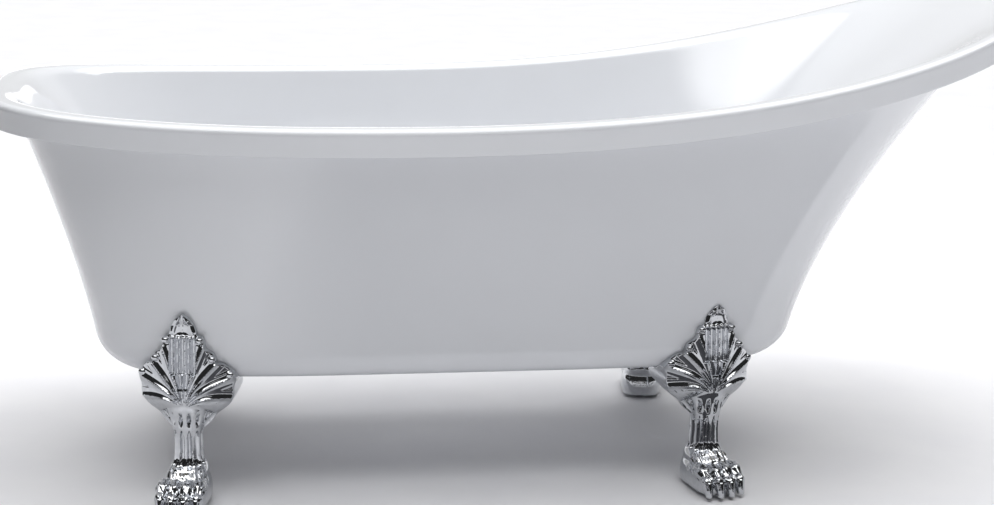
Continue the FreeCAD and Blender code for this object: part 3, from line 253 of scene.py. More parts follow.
@dataclass(frozen=True)
class Grained:
    """A plated, drawn, moulded, pressed, planed or sprayed surface that follows one grain."""

    name: str
    colour: str
    dark: str
    roughness: float
    grain_mm: float
    depth: float
    stretch: float = 1.0
    grain: Grain = RAW
    metallic: float = 0.0

    def material(self) -> bpy.types.Material:
        """Build the surface's nodes.

        Returns:
            The material.
        """
        material, tree, shader = new_material(self.name)
        shader.inputs["Metallic"].default_value = self.metallic
        place = add_node(tree, "ShaderNodeTexCoord").outputs["Object"]
        # fibres, flakes and year rings run along the tub, so the grain is drawn out along X
        along = add_node(tree, "ShaderNodeMapping", inputs={
            "Vector": place, "Scale": (self.stretch, 1.0, 1.0)})
        noise = add_node(tree, "ShaderNodeTexNoise", inputs={
            "Vector": along.outputs["Vector"], "Scale": 1 / (self.grain_mm * MM),
            "Detail": self.grain.detail, "Distortion": self.grain.distortion}).outputs["Fac"]
        tint = add_node(tree, "ShaderNodeValToRGB", inputs={"Fac": noise},
                        stops=list(zip(self.grain.ramp, (self.dark, self.colour))))
        tree.links.new(tint.outputs["Color"], shader.inputs["Base Color"])
        low, high = (min(1.0, self.roughness * share) for share in self.grain.gloss)
        gloss = add_node(tree, "ShaderNodeMapRange", inputs={
            "Value": noise, "From Min": 0.3, "From Max": 0.7, "To Min": low, "To Max": high})
        tree.links.new(gloss.outputs["Result"], shader.inputs["Roughness"])
        relief = add_node(tree, "ShaderNodeBump", inputs={
            "Height": noise, "Strength": self.depth, "Distance": self.grain_mm * MM * self.grain.relief})
        tree.links.new(relief.outputs["Normal"], shader.inputs["Normal"])
        return material


def metal(kind: Metal, colour: str, dark: str, roughness: float, grain_mm: float, depth: float) -> Grained:
    """A metal's finish, named as its slot, whose grain runs no way in particular."""
    return Grained(kind.value, colour, dark, roughness, grain_mm, depth, grain=WORKED, metallic=1.0)


def make_finishes() -> Dict[str, bpy.types.Material]:
    """Make every finish on the tub.

    Returns:
        The materials by their slot in the record.
    """
    finishes = {
        # white, deep and even, with soft reflections
        "white_acrylic": CastAcrylic(),
        # plated over polished castings and pressings: a mirror with the faintest ripple
        Metal.CHROME.value: metal(Metal.CHROME, "#c9cbce", "#bcbec2", 0.06, 6.0, 0.04),
        # zinc-plated steel: grey, half matt, with a fine crystalline mottle
        Metal.ZINC.value: metal(Metal.ZINC, "#b9bcc0", "#92969b", 0.34, 1.6, 0.25),
        # turned brass: warm yellow with fine tool marks
        Metal.BRASS.value: metal(Metal.BRASS, "#c9a354", "#a47f3a", 0.28, 1.2, 0.2),
        # drawn spring wire: darker grey, with a fine drawn gloss
        Metal.SPRING.value: metal(Metal.SPRING, "#9fa1a4", "#7b7d80", 0.3, 0.8, 0.2),
        # chopped glass fibre in resin, sprayed on: straw-coloured, lumpy and half matt
        "backing_resin": Grained("sprayed_glass_reinforced_resin", "#cfc9b4", "#a79f86", 0.62, 9.0, 0.7, 3.0),
        # pressed wood flakes: tan and brown, dull
        "board": Grained("pressed_chipboard", "#c8a473", "#8f6b42", 0.8, 7.0, 0.35, 1.6),
        # planed softwood: long pale and darker streaks along the runner
        "runner_wood": Grained("planed_softwood", "#d4ac74", "#b3834b", 0.6, 12.0, 0.3, 0.06),
        # moulded nylon: near black with a soft sheen
        "pad_plastic": Grained("moulded_black_nylon", "#232326", "#18181a", 0.45, 0.9, 0.2),
        # moulded polypropylene: off-white, waxy
        "pipe_plastic": Grained("moulded_white_polypropylene", "#e6e5df", "#d6d4cc", 0.4, 2.2, 0.12),
        # moulded nitrile rubber: black and dull
        "seal_rubber": Grained("moulded_nitrile_rubber", "#1d1d1e", "#121213", 0.68, 1.1, 0.25),
    }
    return {slot: finish.material() for slot, finish in finishes.items()}


# ------------------------------------------------------------------ the tub's form
@dataclass(frozen=True)
class TubForm:
    """The driving sizes of the rim, bowl and skirt, in millimetres, and the curves they give."""

    length: float = 1700.0
    width: float = 742.0
    exponent: float = 3.6
    egg: float = 0.05
    low_height: float = 622.0
    low_place: float = -318.0
    foot_rise: float = 20.0
    head_rise: float = 178.0
    head_curve: float = 2.65
    band_height: float = 42.5
    band_wall: float = 6.0
    outer_round: float = 11.0
    inner_round: float = 12.0
    floor: float = 242.0
    wall: float = 7.0
    bowl_corner: float = 80.0
    belly: float = 192.0
    skirt_wall: float = 4.0
    skirt_corner: float = 60.0
    skirt_top_depth: float = 25.3
    # half sizes towards the foot, towards the head and to the side: at the bottom, at the rim, and the
    # power of the curve between them
    skirt_sizes: Tuple[Point, ...] = ((686.0, 802.0, 1.36), (470.0, 780.0, 1.58), (255.0, 345.0, 1.2))
    bowl_sizes: Tuple[Point, ...] = ((620.0, 815.0, 2.0), (430.0, 836.0, 2.2), (225.0, 333.0, 1.5))
    skirt_exponent: float = 4.5
    bowl_exponent: float = 3.0

    def superellipse(self, angle: Field, exponent: Field) -> Tuple[Field, Field]:
        """Points of a superellipse of half axes 1 at polar angles.

        Args:
            angle: The polar angles.
            exponent: How square it is: 2 for a circle, and more for squarer.

        Returns:
            Their x and y.
        """
        c, s = np.cos(angle), np.sin(angle)
        m = (np.abs(c) ** exponent + np.abs(s) ** exponent) ** (1 / exponent)
        return c / m, s / m

    def rim_height(self, x: Field) -> Field:
        """Height of the rim's top along the tub.

        Args:
            x: Places along the tub.

        Returns:
            The heights.
        """
        half = self.length / 2
        to_foot = np.maximum(0.0, (self.low_place - x) / (self.low_place + half))
        to_head = np.maximum(0.0, (x - self.low_place) / (half - self.low_place))
        return self.low_height + self.foot_rise * to_foot ** 2 + self.head_rise * to_head ** self.head_curve

    def rim_top(self, angle: Field) -> Field:
        """Height of the rim's top where the outline has this polar angle."""
        return self.rim_height(self.length / 2 * self.superellipse(angle, self.exponent)[0])

    def corner_inset(self, radius: float, rise: Field) -> Field:
        """How far a rounded bottom corner stands inside its wall line at a rise."""
        low = radius - np.clip(rise, 0.0, radius)
        return radius - np.sqrt(radius ** 2 - low ** 2)

    def rim_point(self, angle: Field, inset: float) -> Tuple[Field, Field]:
        """Points that lie inset from the rim's outline."""
        c, s = self.superellipse(angle, self.exponent)
        return (self.length / 2 - inset) * c, (self.width / 2 - inset) * s * (1 + self.egg * c)

    def wall_point(self, angle: Field, share: Field, exponent: float, sizes: Sequence[Point],
                   drawn_in: Field) -> Tuple[Field, Field]:
        """Points of a wall that widens from its bottom to the rim.

        Args:
            angle: Polar angles.
            share: How far up the wall they are, from 0 to 1.
            exponent: The superellipse's exponent at the bottom.
            sizes: The wall's sizes towards the foot, towards the head and to the side.
            drawn_in: How far the points lie inside the wall.

        Returns:
            Their x and y.
        """
        full = np.minimum(share, 1.0)
        c, s = self.superellipse(angle, exponent + (self.exponent - exponent) * full)
        foot, head, side = (low + (high - low) * share ** power for low, high, power in sizes)
        x = (head - foot) / 2 + ((head + foot) / 2 - drawn_in) * c
        return x, (side - drawn_in) * s * (1 + self.egg * full * c)

    def skirt_point(self, angle: Field, z: Field, inset: float) -> Tuple[Field, Field]:
        """Points of the skirt's outer face moved in by inset, at heights z.

        Args:
            angle: Polar angles.
            z: Their heights.
            inset: How far they lie inside the face.

        Returns:
            Their x and y.
        """
        share = np.maximum(0.0, z - self.belly) / (self.rim_top(angle) - self.band_height - self.belly)
        wall_in = max(inset, 0.0)
        drawn_in = inset + self.corner_inset(self.skirt_corner - wall_in, z - self.belly - wall_in)
        return self.wall_point(angle, share, self.skirt_exponent, self.skirt_sizes, drawn_in)

    def bowl_point(self, angle: Field, z: Field, offset: float) -> Tuple[Field, Field]:
        """Points of the bowl's inner face moved out by offset, at heights z.

        Args:
            angle: Polar angles.
            z: Their heights.
            offset: How far they lie outside the face.

        Returns:
            Their x and y.
        """
        share = np.maximum(0.0, z - self.floor) / (self.rim_top(angle) - self.floor)
        outward = min(offset, self.wall)
        drawn_in = self.corner_inset(self.bowl_corner + outward, z - self.floor + outward) - offset
        return self.wall_point(angle, share, self.bowl_exponent, self.bowl_sizes, drawn_in)


FORM = TubForm()


# ------------------------------------------------------------------ shells laid up from rings
def ring_at(x: Field, y: Field, z: Field) -> Ring:
    """Stack the coordinates of one closed curve into rows."""
    return np.column_stack([x, y, np.broadcast_to(z, x.shape)])


def bridge(rings: Sequence[Ring]) -> Skin:
    """Join closed curves of equal length into a closed skin, its first and last curve capped.

    Args:
        rings: Curves in order from one cap to the other, all turning the same way.

    Returns:
        The points and the faces.
    """
    count = len(rings[0])
    points = np.vstack(rings)
    faces: List[Tuple[int, ...]] = [tuple(range(count))[::-1]]
    for row in range(len(rings) - 1):
        a, b = row * count, (row + 1) * count
        faces += [(a + i, a + (i + 1) % count, b + (i + 1) % count, b + i) for i in range(count)]
    last = (len(rings) - 1) * count
    faces.append(tuple(range(last, last + count)))
    return points, faces


def cylinder_between(low: Point, high: Point, radius: float, corners: int = 64) -> Skin:
    """Points and faces of a closed cylinder, for cutting a hole.

    Args:
        low: Middle of its first end.
        high: Middle of its other end.
        radius: Its radius.
        corners: How many sides stand for its round face.

    Returns:
        The points and the faces.
    """
    start, end = Vector(low), Vector(high)
    across = (end - start).orthogonal().normalized()
    up = (end - start).normalized().cross(across)
    rings = []
    for middle in (start, end):
        turns = [FULL_TURN * i / corners for i in range(corners)]
        rings.append(np.array([middle + radius * (math.cos(t) * across + math.sin(t) * up) for t in turns]))
    return bridge(rings)


def cut_with(piece: bpy.types.Object, cutters: Sequence[Skin]) -> None:
    """Cut closed shapes out of a piece.

    Args:
        piece: The piece to cut.
        cutters: Points and faces of shapes that don't touch one another.
    """
    points, faces, start = [], [], 0
    for shape_points, shape_faces in cutters:
        points.append(shape_points)
        faces += [tuple(start + i for i in face) for face in shape_faces]
        start += len(shape_points)
    tool = new_piece("cutter", np.vstack(points), faces, smooth=False)
    modifier = piece.modifiers.new("holes", "BOOLEAN")
    modifier.operation = "DIFFERENCE"
    modifier.solver = "EXACT"
    modifier.object = tool
    apply_modifiers(piece)
    bpy.data.objects.remove(tool)


Wall = Callable[[Field, Field], Tuple[Field, Field]]


@dataclass
class Shells:
    """The basin with its rolled rim, and the outer skirt that tucks up under it."""

    form: TubForm
    around: int = 512
    wall_rings: int = 44
    corner_rings: int = 12
    round_rings: int = 9
    edge_round: float = 1.2
    # the waste's place along the tub and the overflow's height, each with its hole's radius
    waste: Tuple[float, float] = (-503.0, 23.0)
    overflow: Tuple[float, float] = (520.0, 20.0)
    # length, width and corner radius of the opening under the waste
    service: Tuple[float, float, float] = (160.0, 130.0, 20.0)
    service_steps: int = 8
    bolt_hole: float = 4.5
    bolt_corners: int = 24
    settle_rounds: int = 40
    overflow_probe: float = 5.0
    # how far the cutters reach past the overflow's wall, the bowl's floor and the belly
    cut_reach: Tuple[float, float, float] = (30.0, 40.0, 10.0)

    def angles(self) -> Field:
        """Polar angles of the columns of points."""
        return np.arange(self.around) * FULL_TURN / self.around

    def under_rim(self, wall: Wall, depth: float) -> Field:
        """Heights at which a wall meets the surface at a depth under the rim's top.

        Args:
            wall: Gives x and y of the wall at angles and heights.
            depth: Depth under the rim's top.

        Returns:
            A height for each column.
        """
        z = self.form.rim_top(self.angles()) - depth
        for _ in range(self.settle_rounds):
            z = self.form.rim_height(wall(self.angles(), z)[0]) - depth
        return z

    def wall_rings_up(self, wall: Wall, bottom: float, corner: float, depth: float) -> List[Ring]:
        """Rings up a wall: close together in its bottom corner, then to a depth under the rim.

        Args:
            wall: Gives x and y of the wall at angles and heights.
            bottom: Height of the flat below the corner.
            corner: The corner's radius.
            depth: Where it ends, under the rim's top.

        Returns:
            The rings, from the bottom up.
        """
        turns = self.angles()
        rings = []
        for i in range(self.corner_rings + 1):
            z = bottom + corner * (1 - math.cos(math.pi / 2 * i / self.corner_rings))
            rings.append(ring_at(*wall(turns, np.full(self.around, z)), z))
        top = self.under_rim(wall, depth)
        for i in range(1, self.wall_rings + 1):
            z = bottom + corner + (top - bottom - corner) * i / self.wall_rings
            rings.append(ring_at(*wall(turns, z), z))
        return rings

    def rim_ring(self, inset: float, depth: float) -> Ring:
        """The ring that lies inset from the rim's outline and depth under its top."""
        x, y = self.form.rim_point(self.angles(), inset)
        return ring_at(x, y, self.form.rim_height(x) - depth)

    def bowl_wall(self, offset: float) -> Wall:
        """The bowl's face moved out by an offset."""
        return lambda turns, z: self.form.bowl_point(turns, z, offset)

    def quarter(self, radius: float) -> List[Tuple[float, float]]:
        """Steps round a quarter circle, as distances left along its two sides."""
        turns = [math.pi / 2 * i / self.round_rings for i in range(self.round_rings + 1)]
        return [(radius * (1 - math.cos(t)), radius * (1 - math.sin(t))) for t in turns]

    def build_basin(self) -> bpy.types.Object:
        """Build the basin as one closed skin and cut its two holes.

        Returns:
            The basin.
        """
        f = self.form
        rings = self.wall_rings_up(self.bowl_wall(0.0), f.floor, f.bowl_corner, f.inner_round)
        for out, depth in self.quarter(f.inner_round)[1:]:
            wall = self.bowl_wall(out)
            z = self.under_rim(wall, depth)
            rings.append(ring_at(*wall(self.angles(), z), z))
        rings += [self.rim_ring(inset, depth) for depth, inset in self.quarter(f.outer_round)]
        edge = self.edge_round
        rings += [self.rim_ring(inset, f.band_height - depth) for inset, depth in self.quarter(edge)]
        rings += [self.rim_ring(f.band_wall - inset, f.band_height - depth)
                  for depth, inset in self.quarter(edge)]
        rings += [self.rim_ring(f.band_wall + inset, f.band_wall + depth)
                  for inset, depth in self.quarter(f.outer_round - f.band_wall)]
        back = self.wall_rings_up(
            self.bowl_wall(f.wall), f.floor - f.wall, f.bowl_corner + f.wall, f.band_wall)
        points, faces = bridge((rings + back[::-1])[::-1])
        basin = new_piece("basin_shell", points, faces)
        through, down, _ = self.cut_reach
        height, radius = self.overflow
        probe = self.overflow_probe
        end = f.bowl_point(np.array([math.pi]), np.array([height - probe, height + probe]), 0.0)[0]
        tilt = math.atan2(end[0] - end[1], 2 * probe)
        middle = Vector((end.mean(), 0.0, height))
        way = Vector((math.cos(tilt), 0.0, math.sin(tilt)))
        x, waste_radius = self.waste
        cut_with(basin, [
            cylinder_between(middle - through * way, middle + through * way, radius),
            cylinder_between((x, 0, f.floor - down), (x, 0, f.floor + down), waste_radius)])
        return basin

    def build_skirt(self, bolts: Sequence[Tuple[float, float]]) -> bpy.types.Object:
        """Build the skirt as one closed skin and cut the service opening and the bolts' holes.

        Args:
            bolts: Plan places of the foot bolts.

        Returns:
            The skirt.
        """
        f = self.form
        outside, inside = (
            self.wall_rings_up(lambda turns, z, inset=inset: f.skirt_point(turns, z, inset),
                               f.belly + inset, f.skirt_corner - inset, f.skirt_top_depth)
            for inset in (0.0, f.skirt_wall))
        points, faces = bridge(outside + inside[::-1])
        skirt = new_piece("outer_skirt_shell", points, faces)
        low, high = f.belly - self.cut_reach[2], f.belly + self.cut_reach[2]
        cutters = [cylinder_between((x, y, low), (x, y, high), self.bolt_hole, self.bolt_corners)
                   for x, y in bolts]
        cutters.append(self.service_cutter(low, high))
        cut_with(skirt, cutters)
        return skirt

    def service_cutter(self, low: float, high: float) -> Skin:
        """The block with rounded uprights that cuts the opening under the waste.

        Args:
            low: Height of its underside.
            high: Height of its top.

        Returns:
            Its points and faces.
        """
        length, width, rounding = self.service
        outline = []
        for quarter_turn, (sx, sy) in enumerate(((1, 1), (-1, 1), (-1, -1), (1, -1))):
            for i in range(self.service_steps + 1):
                t = math.pi / 2 * (quarter_turn + i / self.service_steps)
                outline.append((self.waste[0] + sx * (length / 2 - rounding) + rounding * math.cos(t),
                                sy * (width / 2 - rounding) + rounding * math.sin(t)))
        xy = np.array(outline)
        return bridge([np.column_stack([xy, np.full(len(xy), z)]) for z in (low, high)])


# ------------------------------------------------------------------ sculpted feet
def smooth_max(a: Field, b: Field, k: float) -> Field:
    """The larger of two fields, with the edge where they meet rounded by k."""
    h = np.clip(0.5 - 0.5 * (b - a) / k, 0.0, 1.0)
    return b + (a - b) * h + k * h * (1 - h)


def smooth_min(a: Field, b: Field, k: float) -> Field:
    """The smaller of two fields, with the groove where they meet filled by k."""
    return -smooth_max(-a, -b, k)


def smooth_step(x: Field) -> Field:
    """A smooth rise from 0 to 1 as x goes from 0 to 1."""
    x = np.clip(x, 0.0, 1.0)
    return x * x * (3 - 2 * x)


def bump(x: Field) -> Field:
    """A smooth hump of height 1 that ends at x of -1 and 1."""
    return np.clip(1 - x * x, 0.0, None) ** 2


def cell_corners(grid: Field) -> List[Field]:
    """The eight views of a grid that hold each corner of every cell."""
    a, b, c = (length - 1 for length in grid.shape)
    return [grid[i:a + i, j:b + j, k:c + k] for i in (0, 1) for j in (0, 1) for k in (0, 1)]


def between(table: Field, i: Field, k: Field) -> Tuple[Field, Field, Field]:
    """Read a table between its points.

    Args:
        table: Values over two axes.
        i: Places along the first axis, in steps.
        k: Places along the second axis, in steps.

    Returns:
        The values, and the whole steps below the places.
    """
    i = np.clip(i, 0, table.shape[0] - 1.001)
    k = np.clip(k, 0, table.shape[1] - 1.001)
    i0, k0 = i.astype(int), k.astype(int)
    along, up = i - i0, k - k0
    low = table[i0, k0] * (1 - up) + table[i0, k0 + 1] * up
    high = table[i0 + 1, k0] * (1 - up) + table[i0 + 1, k0 + 1] * up
    return low * (1 - along) + high * along, i0, k0


def surface_net(values: Field, origin: Field, step: float) -> Tuple[np.ndarray, np.ndarray]:
    """Lay a mesh of quads along the zero surface of a field on a grid.

    Args:
        values: The field at the grid's nodes, negative inside.
        origin: Place of the first node.
        step: Grid spacing.

    Returns:
        The points and the quads, which face outwards.
    """
    inside = values < 0
    corners_in = sum(corner.astype(np.uint8) for corner in cell_corners(inside))
    active = (corners_in > 0) & (corners_in < 8)
    cells = np.argwhere(active)
    number = np.full(active.shape, -1, np.int64)
    number[active] = np.arange(len(cells))
    middle = np.zeros((len(cells), 3))
    crossings = np.zeros(len(cells))
    for axis in range(3):
        for i in (0, 1):
            for j in (0, 1):
                a = np.insert([i, j], axis, 0)
                b = np.insert([i, j], axis, 1)
                va, vb = values[tuple((cells + a).T)], values[tuple((cells + b).T)]
                cross = (va < 0) != (vb < 0)
                share = np.where(cross, va / np.where(cross, va - vb, 1.0), 0.0)
                middle[cross] += (a + share[:, None] * (b - a))[cross]
                crossings += cross
    points = origin + step * (cells + middle / crossings[:, None])
    quads = []
    for axis in range(3):
        p, q = (axis + 1) % 3, (axis + 2) % 3
        here = [slice(None)] * 3
        there = [slice(None)] * 3
        here[axis], there[axis] = slice(0, -1), slice(1, None)
        change = inside[tuple(here)] != inside[tuple(there)]
        edges = np.argwhere(change)
        keep = (edges[:, p] > 0) & (edges[:, q] > 0)
        keep &= (edges[:, p] < active.shape[p]) & (edges[:, q] < active.shape[q])
        edges = edges[keep]
        corners = []
        for dp, dq in ((-1, -1), (0, -1), (0, 0), (-1, 0)):
            cell = edges.copy()
            cell[:, p] += dp
            cell[:, q] += dq
            corners.append(number[tuple(cell.T)])
        quad = np.column_stack(corners)
        outward = inside[tuple(edges.T)]
        quads.append(np.where(outward[:, None], quad, quad[:, ::-1]))
    return points, np.vstack(quads)


@dataclass(frozen=True)
class Petal:
    """One lobe of the leaf: which way its tip points from the root, and how far it reaches."""

    lean: float
    reach: float
    half_width: float
    flutes: int
    height: float
    bend: float


@dataclass
class ClawFoot:
    """A cast claw foot with an acanthus leaf, a fluted leg and a four-toed paw, in its own axes.

    Its axes are u to the side, v out from the tub and z up, from the floor under the leg.
    """

    form: TubForm
    # the mesh: its grid, how many steps a coarse cell has, how near a cell has to be, and the settling
    step: float = 1.35
    coarse: int = 4
    near: float = 9.5
    settle_rounds: int = 3
    probe: float = 0.05
    low_corner: Point = (-84.0, -122.0, 3.0)
    high_corner: Point = (84.0, 102.0, 320.0)
    base: float = 6.5
    leaf_root: float = 158.0
    seat_gap: float = 0.3
    sweep: float = 0.0058
    # the leaf's outline: half widths and heights, from its tip down
    leaf_half: Tuple[Tuple[float, float], ...] = (
        (0, 317), (7, 312), (13, 306), (18, 298), (21, 289), (22, 281), (29, 281), (33, 274), (33, 264),
        (36, 257), (46, 252), (50, 243), (50, 234), (57, 234), (66, 228), (76, 215), (79, 204), (74, 194),
        (75, 180), (70, 166), (60, 156), (46, 146), (35, 130), (20, 118), (0, 112))
    # how far out the leaf stands and how thick it is, by height
    leaf_front: Tuple[Tuple[float, float], ...] = (
        (100, 2), (130, 6), (148, 12), (158, 21), (168, 28), (200, 34), (250, 33), (320, 27))
    leaf_depth: Tuple[Tuple[float, float], ...] = ((100, 14), (130, 14), (160, 18), (178, 70), (320, 70))
    # height, half width, middle and half depth of the leg and of the paw
    leg_rows: Tuple[Tuple[float, ...], ...] = (
        (52, 31, 7, 34), (60, 27, 2, 29), (70, 24, -1, 24.5), (85, 23, -2, 22.5), (105, 22.5, -2, 22),
        (128, 25, -1, 23.5), (152, 32, -2, 28), (176, 37, -10, 38))
    leg_exponent: float = 2.4
    # underside, top and the rounding of both
    leg_ends: Tuple[float, float, float] = (50.0, 192.0, 3.0)
    paw_rows: Tuple[Tuple[float, ...], ...] = (
        (6.5, 36, 24, 56), (20, 37.5, 25, 56), (34, 36, 19, 48), (46, 31.5, 11, 38), (58, 28.5, 3, 30))
    paw_exponent: float = 3.6
    paw_top: Tuple[float, float] = (60.0, 8.0)
    # a toe's spine and thickness, from the knuckle to the tip, and where the toes stand
    toe_chain: Tuple[Point, ...] = (
        (50, 41, 9.5), (64, 40, 10.5), (73, 31, 9), (80, 28, 10), (86, 18, 7.4), (89, 9, 6.2))
    toe_places: Tuple[Tuple[float, float], ...] = ((9.5, 0.0), (28.5, 5.0))
    # a claw's top and drop, its reach and hook, and its half width, taper and half thickness
    claw_heights: Tuple[float, float] = (30.0, 24.0)
    claw_out: Tuple[float, float] = (92.5, 5.0)
    claw_half: Tuple[float, float, float] = (4.4, 2.6, 4.0)
    # the rows of tufts by height and half height, and the height of broad and small lumps
    tufts: Tuple[Tuple[float, float], ...] = ((57.0, 18.0), (38.0, 8.0))
    tuft_heights: Tuple[float, float] = (1.9, 0.6)
    petals: Tuple[Petal, ...] = (
        Petal(17, 112, 10.5, 2, 4.5, 8), Petal(34, 98, 12.0, 2, 5.0, 20), Petal(56, 94, 13.0, 2, 5.5, 36),
        Petal(80, 84, 14.0, 2, 5.0, 46), Petal(102, 72, 12.0, 1, 4.0, 50))
    # crest, depth and pitch of the bands
    band_relief: Tuple[float, float, float] = (3.2, 4.2, 7.5)
    # the middle panel: its root, the row where five flutes end, and its top, with the half width at each
    panel_heights: Tuple[float, float, float] = (160.0, 219.0, 279.0)
    panel_halves: Tuple[float, float, float] = (1.0, 10.5, 21.5)
    # half the number of flutes below and above the row, and their crest and depth
    panel_flutes: Tuple[float, float] = (1.0, 2.5)
    panel_relief: Tuple[float, float] = (1.8, 6.6)
    # height, half height and rise of the ledge over the flutes
    ledge: Tuple[float, float, float] = (277.5, 4.4, 4.6)
    hood_heights: Tuple[float, ...] = (281.0, 296.0, 306.0, 315.0)
    hood_halves: Tuple[float, ...] = (20.0, 14.5, 8.0, 1.5)
    # the curls: how far to the side, how high and how large, and how flat
    curls: Tuple[Point, ...] = ((27, 274, 6.5), (45, 243, 6.5), (70, 214, 7.0))
    curl_squash: Tuple[float, float] = (0.9, 0.85)
    # flutes round the leg, the depth of tall ones and arches, and the heights of their feet, tops and arches
    flute_count: int = 12
    flute_depths: Tuple[float, float] = (4.6, 6.0)
    flute_heights: Tuple[float, float, float] = (60.0, 124.0, 141.0)
    # how softly the leg, the leaf and the seat run together
    blends: Tuple[float, float, float] = (6.0, 3.0, 4.0)
    # the levelling screw's hole: how far out, its radius and its top
    leveller: Point = (34.0, 8.0, 30.5)
    # the seat under the skirt: half width, reach, underside, and its top over the belly
    tongue: Tuple[float, float, float, float] = (38.0, 118.0, 180.0, 10.0)
    # the bolt holes: how far to the side and back, and their radius
    bolts: Point = (22.0, 96.0, 4.5)
    table_step: float = 0.6
    table_low: Tuple[float, float] = (-90.0, 100.0)
    table_high: Tuple[float, float] = (90.01, 322.01)
    skirt_reach: Tuple[float, float] = (130.0, 140.0)
    skirt_steps: Tuple[float, float] = (2.0, 1.0)
    skirt_turns: int = 1500
    front_table: Field = None
    edge_table: Field = None
    skirt_table: Field = None
    place: Tuple[float, float] = (0.0, 0.0)
    splay: float = 0.0

    def stand_at(self, x: float, y: float, splay_degrees: float) -> None:
        """Put the leg's axis at a plan place, turned by its splay, and prepare its tables.

        Args:
            x: Place along the tub.
            y: Place across the tub.
            splay_degrees: How far the foot is turned out.
        """
        self.place = (x, y)
        self.splay = math.radians(splay_degrees)
        self.edge_table = self.leaf_edge()
        self.front_table = self.leaf_relief()
        self.skirt_table = self.skirt_depths()

    def world(self, u: Field, v: Field) -> Tuple[Field, Field]:
        """Plan places of points in the foot's axes."""
        c, s = math.cos(self.splay), math.sin(self.splay)
        return self.place[0] + u * c + v * s, self.place[1] + u * s - v * c

    def table_axes(self) -> Tuple[Field, Field]:
        """The u and z values at which the leaf's tables are laid out."""
        return tuple(np.arange(low, high, self.table_step)
                     for low, high in zip(self.table_low, self.table_high))

    def look_up(self, table: Field, u: Field, z: Field) -> Field:
        """Read a leaf table between its points."""
        low_u, low_z = self.table_low
        return between(table, (u - low_u) / self.table_step, (z - low_z) / self.table_step)[0]

    def rows_at(self, rows: Sequence[Sequence[float]], z: Field) -> List[Field]:
        """Values between the rows of a table whose first column is the height, eased at each row.

        Args:
            rows: The table's rows.
            z: Heights to read it at.

        Returns:
            The other columns at these heights.
        """
        heights = np.array([row[0] for row in rows])
        k = np.clip(np.searchsorted(heights, z) - 1, 0, len(heights) - 2)
        share = np.clip((z - heights[k]) / (heights[k + 1] - heights[k]), 0.0, 1.0)
        columns = []
        for c in range(1, len(rows[0])):
            value = np.array([row[c] for row in rows])
            slope = np.gradient(value, heights)
            gap = heights[k + 1] - heights[k]
            s2, s3 = share ** 2, share ** 3
            columns.append(value[k] * (2 * s3 - 3 * s2 + 1) + slope[k] * gap * (s3 - 2 * s2 + share)
                           + value[k + 1] * (3 * s2 - 2 * s3) + slope[k + 1] * gap * (s3 - s2))
        return columns

    def petal_carving(self, side: Field, root: Field) -> Field:
        """Height of the fluted petals, over places beside and above the leaf's root.

        Args:
            side: Distances to either side of the leaf's middle.
            root: Heights over the leaf's root.

        Returns:
            The relief of the highest petal at each place.
        """
        r = np.hypot(side, root)
        lean = np.degrees(np.arctan2(side, root))
        carve = np.zeros_like(side)
        for petal in self.petals:
            middle = petal.lean - petal.bend * (1 - np.clip(r / petal.reach, 0, 1)) ** 1.3
            width = petal.half_width * smooth_step(r / (0.75 * petal.reach)) + 1.2
            across = np.radians(lean - middle) * r / width
            dome = np.clip(1 - across ** 2, 0, None) ** 0.6
            flute = np.abs(np.sin(math.pi * petal.flutes * (across + 1) / 2))
            rise = petal.height * smooth_step(r / (0.25 * petal.reach))
            rise = rise * smooth_step((petal.reach + 3 - r) / 5)
            carve = np.maximum(carve, rise * (dome * 1.3 - 0.75 * flute * (np.abs(across) < 1)))
        return carve

    def band_carving(self, side: Field, z: Field) -> Field:
        """Height of the broad bands that run up into the wings, along their lower edge.

        Args:
            side: Distances to either side of the leaf's middle.
            z: Heights.

        Returns:
            Their relief.
        """
        crest, hollow, pitch = self.band_relief
        inward = -self.edge_table
        bands = crest - hollow * np.abs(np.sin(math.pi * inward / pitch)) ** 0.8
        where = smooth_step((190 - z) / 14) * smooth_step((side - 15) / 10) * smooth_step((25 - inward) / 5)
        return bands * where

    def panel_carving(self, u: Field, z: Field, carve: Field) -> Field:
        """Cut the middle panel into a carving: five flutes end in a row, and two run on down to the root.

        Args:
            u: Places to the side.
            z: Heights.
            carve: The relief around the panel.

        Returns:
            The relief with the panel and the ledge over it.
        """
        root, row, top = self.panel_heights
        tip, low_half, half = self.panel_halves
        few, many = self.panel_flutes
        crest, hollow = self.panel_relief
        panel = np.where(z > row, half, low_half * np.clip((z - root) / (row - root), 0, 1) + tip)
        count = np.where(z > row, many, few)
        across = u / panel
        inside = (np.abs(u) < panel) & (z < top) & (z > root)
        waves = np.abs(np.sin(count * math.pi * (across + 1))) ** 0.8
        carve = np.where(inside, crest - hollow * waves * smooth_step((z - self.leaf_root) / 25), carve)
        # a scalloped ledge closes the flutes at their top
        height, half_height, rise = self.ledge
        scallop = np.abs(np.cos(3 * math.pi * across / 1.2))
        shelf = rise * bump((z - height - 1.5 * scallop) / half_height) * smooth_step((22.5 - np.abs(u)) / 3)
        return carve + shelf * (0.75 + 0.25 * scallop)

